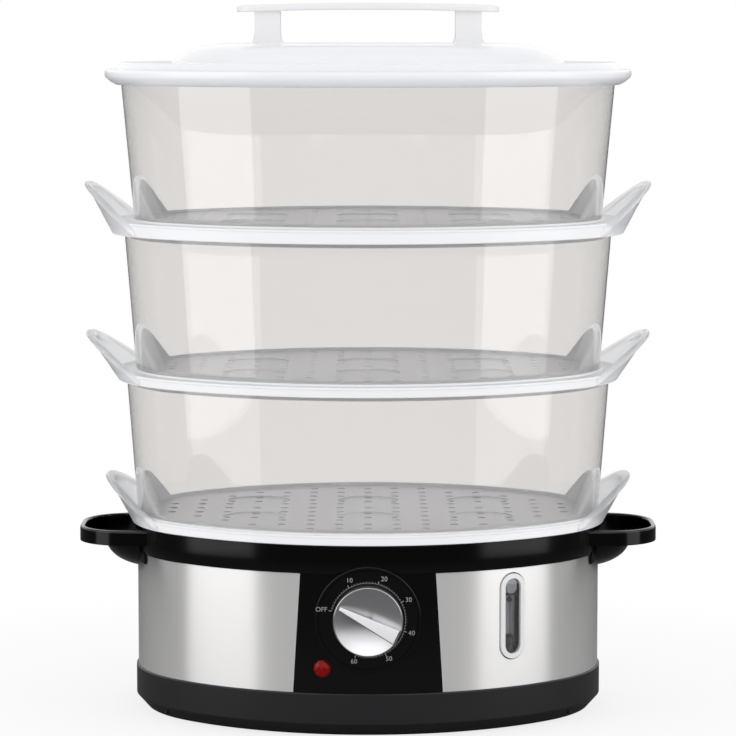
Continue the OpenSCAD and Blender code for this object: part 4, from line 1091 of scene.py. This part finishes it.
@dataclass
class Lid:
    """The white lid with its rolled lip, its dome, its vents and its handle."""

    dome: float = 380.9
    thickness: float = 2.2
    top_in: float = -62.0
    shoulder: Profile = ((-22.0, 370.1), (-26.5, 374.0), (-32.5, 377.2), (-41, 379.6), (-51, 380.6))
    lip: Profile = (
        (7.1, 357.5), (9, 357.5), (12.0, 359.0), (14, 360.7), (15.1, 361.7), (15.6, 362.9),
        (15.6, 364.8), (15.2, 365.7), (14.4, 366.1), (10.4, 366.35), (9.2, 366.7), (8.5, 367.5),
        (7.4, 369.2), (6.9, 369.8), (6.2, 370.1))
    under_lip: Profile = (
        (-23.8, 367.9), (4.6, 367.9), (5.0, 363.7), (2.0, 363.7), (2.0, 358.5), (3.8, 358.5),
        (3.8, 361.5), (7.1, 361.5))
    vent_r: float = 2.2
    vent_x: float = 30.0
    vent_ys: tuple[float, ...] = (-9.0, 0.0, 9.0)
    bar_half: float = 74.5
    bar_w: float = 22.0
    bar_t: float = 3.8
    bar_top: float = 403.6
    bar_curve: float = 1900.0
    post_x: float = 57.0
    post_half: float = 7.4
    post_flare: float = 2.2
    post_t: float = 13.0

    def build(self) -> None:
        """Build the shell, its top and the handle."""
        self.shell()
        self.handle()

    def shell(self) -> None:
        """Sweep the shell and cut its flat top."""
        shape = Shape()
        t = self.thickness
        outside = eased([*self.shoulder, (self.top_in, self.dome)])
        inside = [(at + 0.6, z - t) for at, z in reversed(outside)]
        OVAL.sweep(shape, [*self.lip, *outside, *inside[:-1], *self.under_lip])
        vents = [circle_points(side.value * self.vent_x, y, self.vent_r, 24)
                 for side in Side for y in self.vent_ys]
        shape.take_in(pierced("lid top", OVAL.outline(self.top_in + 0.05), vents, self.dome - t, self.dome))
        shape.finish(Dress("lid_shell", "lid", "lid", LID_WHITE, ("lid",)), crease=30)

    def drop(self, x: float) -> float:
        """Return how far the curved bar falls away from its middle."""
        return x ** 2 / (2 * self.bar_curve)

    def handle(self) -> None:
        """Build the curved bar and its two posts."""
        shape = Shape()
        bm = shape.bm
        for vert in bmesh.ops.create_grid(bm, x_segments=1, y_segments=1, size=0.5)["verts"]:
            vert.co = Vector((vert.co.x * 2 * self.bar_half, vert.co.y * self.bar_w, 0))
        bmesh.ops.bevel(bm, geom=bm.verts[:], offset=self.bar_w / 2 - 0.4, offset_type="OFFSET", segments=12,
                        profile=0.5, affect="VERTICES", clamp_overlap=False, material=-1)
        shape.pull(bm.faces[:], Vector((0, 0, self.bar_t)))
        shape.soften(1.0, angle=50, segments=4)
        for x in range(-60, 61, 10):
            bmesh.ops.bisect_plane(bm, geom=shape.everything(), plane_co=(x, 0, 0), plane_no=(1, 0, 0))
        for vert in bm.verts:
            vert.co.z += self.bar_top - self.bar_t - self.drop(vert.co.x)
        for side in Side:
            self.post(shape, side)
        shape.finish(Dress("lid_handle_bar", "lid", "lid_handle", HANDLE_WHITE, ("lid_handle",)), crease=35)

    def post(self, shape: Shape, side: Side) -> None:
        """Add one post with its flared foot.

        Args:
            shape: The mesh that gets the post.
            side: Which side.
        """
        part = Shape()
        half, foot = self.post_half, self.dome
        top = self.bar_top - self.bar_t / 2 - self.drop(self.post_x)
        edge = [(half, top), (half, foot + 6), (half + 0.3, foot + 3), (half + 1.0, foot + 1.2),
                (half + self.post_flare, foot)]
        face = part.bm.faces.new([
            part.bm.verts.new((side.value * self.post_x + x, self.post_t / 2, z))
            for x, z in edge + [(-x, z) for x, z in reversed(edge)]])
        part.pull([face], self.post_t * FORWARD)
        part.soften(1.2, angle=60, segments=4,
                    keep=lambda e: abs(e.verts[0].co.y - e.verts[1].co.y) < 0.01
                    and max(v.co.z for v in e.verts) < top - 0.5 and min(v.co.z for v in e.verts) > foot)
        part.merge()
        shape.take_in(part.bm)


# The knob's grip, as (towards the pointer, across, out) for each corner of a cube: its wide end is at
# the knob's flat, and only one of its long sides slants.
GRIP_CORNERS = {
    (1, 1, 1): (-17.3, 4.1, 13.0), (1, -1, 1): (-17.3, -4.1, 11.5),
    (1, 1, -1): (-18.6, 5.3, 0.9), (1, -1, -1): (-18.6, -4.1, 0.9),
    (-1, 1, 1): (17.3, 1.1, 7.0), (-1, -1, 1): (17.3, -1.1, 7.0),
    (-1, 1, -1): (18.3, 1.9, 0.9), (-1, -1, -1): (18.3, -1.1, 0.9),
}


@dataclass
class Dial:
    """The timer's printed disc and the knob that turns before it."""

    z: float = 67.0
    foot: float = 98.3
    front: float = 103.2
    radius: float = 29.2
    bore: float = 3.8
    ring: Point = (20.45, 20.6)
    tick_r: float = 20.65
    ten_tick: Point = (1.5, 0.42)
    minute_tick: Point = (0.6, 0.26)
    minutes: int = 60
    start: float = 166.0
    turn: float = 275.0
    ink: float = 0.06
    size: float = 3.7
    numbers: tuple[tuple[str, float, float], ...] = (
        ("OFF", 167.0, 26.2), ("10", 114.8, 24.2), ("20", 68.6, 24.4), ("30", 26.8, 24.9),
        ("40", -16.8, 25.0), ("50", -61.8, 24.3), ("60", -108.5, 24.2))
    knob_back: float = 104.0
    knob_line: Profile = (
        (0, 0), (18.75, 0), (19.25, 0.5), (19.25, 5.6), (19.1, 6.15), (18.75, 6.5), (18.3, 6.5),
        (17.9, 6.25), (17.4, 6.1), (16, 5.55), (14, 4.85), (12, 4.27), (10, 3.79), (8, 3.4),
        (6, 3.1), (4, 2.88), (2, 2.74), (0, 2.7))
    pointer: float = 154.0
    cut: float = 18.68

    def spot(self, angle: float, radius: float, out: float) -> Vector:
        """Place a point by its angle from +X seen from the front, its radius and its distance out."""
        turn = math.radians(angle)
        return Vector((radius * math.cos(turn), -out, self.z + radius * math.sin(turn)))

    def build(self) -> None:
        """Build the disc, its print and the knob."""
        self.disc()
        self.print()
        self.knob()

    def disc(self) -> None:
        """Turn the disc with a fine groove near its edge and a shallow recess behind the knob."""
        shape = Shape()
        high = self.front - self.foot
        shape.lathe([(self.bore, 0), (self.radius, 0), (self.radius, high - 0.25),
                     (self.radius - 0.25, high), (27.7, high), (27.55, high - 0.35), (27.3, high - 0.35),
                     (27.15, high), (18.0, high), (17.6, high - 0.3), (self.bore, high - 0.3),
                     (self.bore, 0)], Vector((0, -self.foot, self.z)), FORWARD, steps=128)
        shape.finish(Dress("dial_disc", "base", "dial_plate", DIAL_BLACK, ("dial_plate",)), crease=20)

    def print(self) -> None:
        """Print the minute ring and the numbers."""
        shape = Shape()
        bm = shape.bm
        middle, face = self.front + self.ink / 2, self.front + self.ink
        for minute in range(self.minutes + 1):
            angle = self.start - self.turn * minute / self.minutes
            length, width = self.minute_tick if minute % 10 else self.ten_tick
            place = (Matrix.Translation(self.spot(angle, self.tick_r + length / 2, middle))
                     @ Matrix.Rotation(-math.radians(angle), 4, "Y")
                     @ Matrix.Diagonal((length, self.ink, width, 1)))
            bmesh.ops.create_cube(bm, size=1, matrix=place)
        inner, outer = self.ring
        section = ((inner, self.front), (outer, self.front), (outer, face), (inner, face))
        start = bm.faces.new([bm.verts.new(self.spot(self.start, r, out)) for r, out in section])
        bmesh.ops.spin(bm, geom=[start], cent=(0, 0, self.z), axis=(0, 1, 0),
                       angle=math.radians(self.turn), steps=90)
        for words, angle, radius in self.numbers:
            letters = text_plate(words, self.size, self.ink)
            bmesh.ops.transform(letters, verts=letters.verts[:],
                                matrix=Matrix.Translation(self.spot(angle, radius, middle))
                                @ Matrix.Rotation(math.pi / 2, 4, "X"))
            shape.take_in(letters)
        shape.finish(Dress("dial_print", "base", "dial_plate", DIAL_INK))

    def knob(self) -> None:
        """Turn the dished knob, cut its flat and set the wedge-shaped grip on it."""
        shape = Shape()
        bm = shape.bm
        centre = Vector((0, -self.knob_back, self.z))
        shape.lathe(self.knob_line, centre, FORWARD)
        shape.merge()
        angle = math.radians(self.pointer)
        along = Vector((math.cos(angle), 0, math.sin(angle)))
        across = Vector((-math.sin(angle), 0, math.cos(angle)))
        bmesh.ops.bisect_plane(bm, geom=shape.everything(), plane_co=centre - along * self.cut,
                               plane_no=-along, clear_outer=True)
        bmesh.ops.holes_fill(bm, edges=[e for e in bm.edges if e.is_boundary])
        shape.soften(0.2, angle=60, segments=2)
        grip = Shape()
        for vert in bmesh.ops.create_cube(grip.bm, size=2)["verts"]:
            run, aside, high = GRIP_CORNERS[tuple(round(part) for part in vert.co)]
            vert.co = centre + along * run + across * aside + FORWARD * high
        grip.soften(0.5, angle=30, segments=3)
        grip.merge()
        shape.take_in(grip.bm)
        shape.finish(Dress("timer_knob_cap", "knob", "knob", KNOB_METAL, ("timer_knob",)), crease=35)


@dataclass
class Lamp:
    """The faceted red lens of the lamp."""

    turn: float = 9.09
    face: float = 158.9
    z: float = 39.4
    facets: int = 10
    line: Profile = ((0, -0.6), (4.9, -0.6), (4.9, 0.7), (4.2, 1.6), (2.5, 2.5), (0, 2.9))

    def build(self) -> None:
        """Turn the lens in flat facets."""
        shape = Shape()
        turn = math.radians(self.turn)
        out = Vector((-math.sin(turn), -math.cos(turn), 0))
        shape.lathe(self.line, Vector((0, OVAL.side_d, self.z)) + out * self.face, out, steps=self.facets)
        shape.soften(0.12, angle=12, segments=1)
        shape.finish(Dress("lamp_jewel", "base", "lamp_lens", LAMP_RED, ("lamp_lens",)), crease=4)


@dataclass
class Gauge:
    """The water gauge's clear capsule: its frame, its glass, and the pale mark, painted shadow line and
    painted shade spot behind the glass.
    """

    turn: float = 30.42
    face: float = 158.6
    z: float = 65.1
    half: float = 7.8
    height: float = 47.8
    glass_half: float = 5.0
    lap: float = 0.3
    frame_depth: Point = (-2.4, 0.5)
    glass_depth: Point = (-1.7, -0.5)
    mark_depth: Point = (-2.3, -1.9)
    top_mark: tuple[float, float, float] = (3.4, 8.6, 16.6)
    # The line and the spot are painted shade: a shadow line under the recess and the dark inside a small
    # hole.
    painted_shadow_line: Profile = ((-4.6, 11.4), (4.6, 11.4), (4.6, 12.8), (-4.6, 12.8))
    painted_shade_spot: tuple[float, float, float] = (-1.4, 9.0, 1.6)

    def capsule(self, half: float, height: float, z: float = 0.0, steps: int = 14) -> list[Point]:
        """Draw the outline of an upright capsule.

        Args:
            half: Half of its width.
            height: Its height.
            z: Place of its middle up.
            steps: Number of steps round each end.

        Returns:
            The outline's points.
        """
        rise = height / 2 - half
        turns = [math.pi * i / steps for i in range(steps + 1)]
        upper = [(half * math.cos(turn), z + rise + half * math.sin(turn)) for turn in turns]
        return upper + [(-x, 2 * z - up) for x, up in upper]

    def piece(self, name: str, finish: Plastic, outline: Profile, depth: Point,
              holes: Iterable[Profile] = (), round_off: float = 0.0,
              stands_for: tuple[str, ...] = ()) -> None:
        """Cut one flat piece, stand it upright on the gauge's place in the band and dress it.

        Args:
            name: The piece's name.
            finish: Its finish.
            outline: Its outline, with its height along Y.
            depth: How far its back and its front stand out.
            holes: The outlines of its holes.
            round_off: Width of the rounding of its edges.
            stands_for: The nodes it stands for.
        """
        shape = Shape()
        shape.take_in(pierced(name, outline, holes, *depth))
        if round_off:
            shape.soften(round_off, angle=50, segments=4)
        turn = math.radians(self.turn)
        out = Vector((math.sin(turn), -math.cos(turn), 0))
        place = Matrix((Vector((math.cos(turn), math.sin(turn), 0)), (0, 0, 1), out)).transposed().to_4x4()
        place.translation = Vector((0, OVAL.side_d, self.z)) + out * self.face
        bmesh.ops.transform(shape.bm, matrix=place, verts=shape.bm.verts[:])
        shape.finish(Dress(name, "base", "gauge_window", finish, stands_for))

    def build(self) -> None:
        """Build the frame, the glass, the pale mark, the painted shadow line and the painted shade spot."""
        glass_height = self.height - 2 * (self.half - self.glass_half)
        # The frame's near-white finish is a painted highlight.
        self.piece("gauge_frame", GAUGE_EDGE_PAINTED_HIGHLIGHT, self.capsule(self.half, self.height), self.frame_depth,
                   [self.capsule(self.glass_half, glass_height)], 0.9, ("gauge_window",))
        glass = self.capsule(self.glass_half + self.lap, glass_height + 2 * self.lap)
        self.piece("gauge_glass", CLEAR_GAUGE, glass, self.glass_depth, stands_for=("gauge_window",))
        self.piece("gauge_top_mark", MARK_LIGHT, self.capsule(*self.top_mark), self.mark_depth)
        # Near-black painted shadow under the recess, and painted shade for a small hole.
        self.piece("gauge_line_mark", PAINTED_SHADE_MARK, self.painted_shadow_line, self.mark_depth)
        self.piece("gauge_spot_mark", PAINTED_SHADE_MARK, circle_points(*self.painted_shade_spot, 20), self.mark_depth)


# ---------- Studio ----------


@dataclass(frozen=True)
class Softbox:
    """A soft rectangular lamp that points at the object's middle, in metres and watts."""

    name: str
    spot: tuple[float, float, float]
    size: Point
    watts: float
    target: tuple[float, float, float] = (0.0, 0.0, 0.2)

    def hang(self) -> None:
        """Hang the lamp."""
        light = bpy.data.lights.new(self.name, "AREA")
        light.shape = "RECTANGLE"
        light.size, light.size_y = self.size
        light.energy = self.watts
        lamp = bpy.data.objects.new(self.name, light)
        lamp.location = self.spot
        aim = Vector(self.target) - Vector(self.spot)
        lamp.rotation_euler = aim.to_track_quat("-Z", "Y").to_euler()
        bpy.context.scene.collection.objects.link(lamp)


@dataclass
class Studio:
    """The floor, the world, the lamps and the camera, in metres."""

    camera_y: float = -1.900
    camera_z: float = 0.3905
    pitch: float = 5.87
    lens: float = 162.7
    sensor: float = 36.0
    side_turn: float = 63.5
    side_away: float = 1.5
    side_high: float = 0.55
    room: float = 0.72
    room_top: float = 0.42
    room_fade: Point = (0.3, 0.85)
    floor_r: float = 0.6
    floor_grey: float = 0.96
    floor_white: float = 0.8
    floor_fade: Point = (0.12, 0.4)
    mirrored_near: float = 0.28
    mirrored_far: float = 0.09
    mirrored_from: float = 0.22
    mirrored_sky: float = 1.3
    horizon: Point = (-0.02, 0.12)

    def build(self) -> None:
        """Build the whole studio."""
        self.floor()
        self.world()
        for side in Side:
            turn = math.radians(self.side_turn) * side.value
            spot = (self.side_away * math.sin(turn), -self.side_away * math.cos(turn), self.side_high)
            Softbox(f"softbox {side.name.lower()}", spot, (0.95, 1.6), 6.7).hang()
        Softbox("overhead softbox", (0, 0.1, 1.6), (1.4, 1.0), 2.3).hang()
        Softbox("front softbox", (0, -1.8, 1.0), (1.7, 0.8), 3.0).hang()
        self.camera()

    def span(self, reach: Point, values: Point) -> dict[str, float]:
        """Return the input values of a Map Range node that runs between two values over a reach."""
        return {"From Min": reach[0], "From Max": reach[1], "To Min": values[0], "To Max": values[1]}

    def floor(self) -> None:
        """Lay a pale round floor that shows white past the object's shadow."""
        bm = bmesh.new()
        bmesh.ops.create_circle(bm, cap_ends=True, segments=96, radius=self.floor_r)
        mesh = bpy.data.meshes.new("floor")
        bm.to_mesh(mesh)
        bm.free()
        material, tree = blank("white painted floor")
        white = add(tree, "ShaderNodeEmission", {"Color": (1, 1, 1, 1), "Strength": 1.0})
        where = add(tree, "ShaderNodeTexCoord")
        away = add(tree, "ShaderNodeVectorMath", operation="LENGTH", links={0: where.outputs["Object"]})
        distance = {"Value": away.outputs["Value"]}
        blend = add(tree, "ShaderNodeMapRange", self.span(self.floor_fade, (self.floor_white, 1.0)), distance)
        dim = add(tree, "ShaderNodeMapRange", self.span((self.mirrored_from, self.floor_r),
                                                        (self.mirrored_near, self.mirrored_far)), distance)
        rays = add(tree, "ShaderNodeLightPath")
        shade = add(tree, "ShaderNodeMix", {"A": self.floor_grey},
                    {"Factor": rays.outputs["Is Glossy Ray"], "B": dim.outputs["Result"]})
        lit = add(tree, "ShaderNodeBsdfDiffuse", links={"Color": shade.outputs["Result"]})
        part = add(tree, "ShaderNodeMath", operation="MULTIPLY",
                   links={0: blend.outputs["Result"], 1: self.seen(tree).outputs[0]})
        mix = add(tree, "ShaderNodeMixShader",
                  links={0: part.outputs[0], 1: lit.outputs[0], 2: white.outputs[0]})
        add(tree, "ShaderNodeOutputMaterial", links={"Surface": mix.outputs[0]})
        mesh.materials.append(material)
        floor = bpy.data.objects.new("floor", mesh)
        bpy.context.scene.collection.objects.link(floor)

    def seen(self, tree: NodeTree) -> Node:
        """Add nodes that give 1 for rays from the camera and through clear plastic, and return the last."""
        rays = add(tree, "ShaderNodeLightPath").outputs
        return add(tree, "ShaderNodeMath", operation="MAXIMUM",
                   links={0: rays["Is Camera Ray"], 1: rays["Is Transmission Ray"]})

    def world(self) -> None:
        """Light the room plainly and show white where the camera or clear plastic sees past it."""
        world = bpy.data.worlds.new("studio")
        world.use_nodes = True
        tree = world.node_tree
        tree.nodes.clear()
        where = add(tree, "ShaderNodeTexCoord")
        split = add(tree, "ShaderNodeSeparateXYZ", links={"Vector": where.outputs["Generated"]})
        height = {"Value": split.outputs["Z"]}
        mirrored = add(tree, "ShaderNodeMapRange",
                       self.span(self.horizon, (self.mirrored_far, self.mirrored_sky)), height)
        plain = add(tree, "ShaderNodeMapRange", self.span(self.room_fade, (self.room, self.room_top)), height)
        rays = add(tree, "ShaderNodeLightPath")
        room = add(tree, "ShaderNodeMix", links={
            "Factor": rays.outputs["Is Glossy Ray"], "A": plain.outputs["Result"],
            "B": mirrored.outputs["Result"]})
        strength = add(tree, "ShaderNodeMath", operation="MAXIMUM",
                       links={0: room.outputs["Result"], 1: self.seen(tree).outputs[0]})
        shown = add(tree, "ShaderNodeBackground", {"Color": (1, 1, 1, 1)}, {"Strength": strength.outputs[0]})
        add(tree, "ShaderNodeOutputWorld", links={"Surface": shown.outputs[0]})
        bpy.context.scene.world = world

    def camera(self) -> None:
        """Set the camera at the photograph's viewing angle."""
        data = bpy.data.cameras.new("camera")
        data.lens = self.lens
        data.sensor_width = self.sensor
        camera = bpy.data.objects.new("camera", data)
        camera.location = (0, self.camera_y, self.camera_z)
        camera.rotation_euler = (math.radians(90 - self.pitch), 0, 0)
        bpy.context.scene.collection.objects.link(camera)
        bpy.context.scene.camera = camera


TIERS = (
    Tier(1, 107.9, 114.4, 1.8, -3.2, -4.0, -1.6, 4.4, 194.1, 15.6, 3.5),
    Tier(2, 190.0, 196.5, 9.5, 7.3, 1.7, -1.2, 5.4, 279.5, 26.4, 2.5),
    Tier(3, 273.4, 281.9, 12.3, 10.1, 2.4, -0.6, 6.6, 361.5, 26.4, 2.5),
)


def main() -> None:
    """Build the studio and dress every piece in order."""
    logging.basicConfig(level=logging.INFO, format="%(message)s")
    scene = bpy.context.scene
    scene.view_settings.view_transform = "Standard"
    Studio().build()
    dress_nodes(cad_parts)
    for part in (SteelBand(), RimBand(), *TIERS, Lid(), Dial(), Lamp(), Gauge()):
        part.build()


if __name__ == "__main__":
    main()
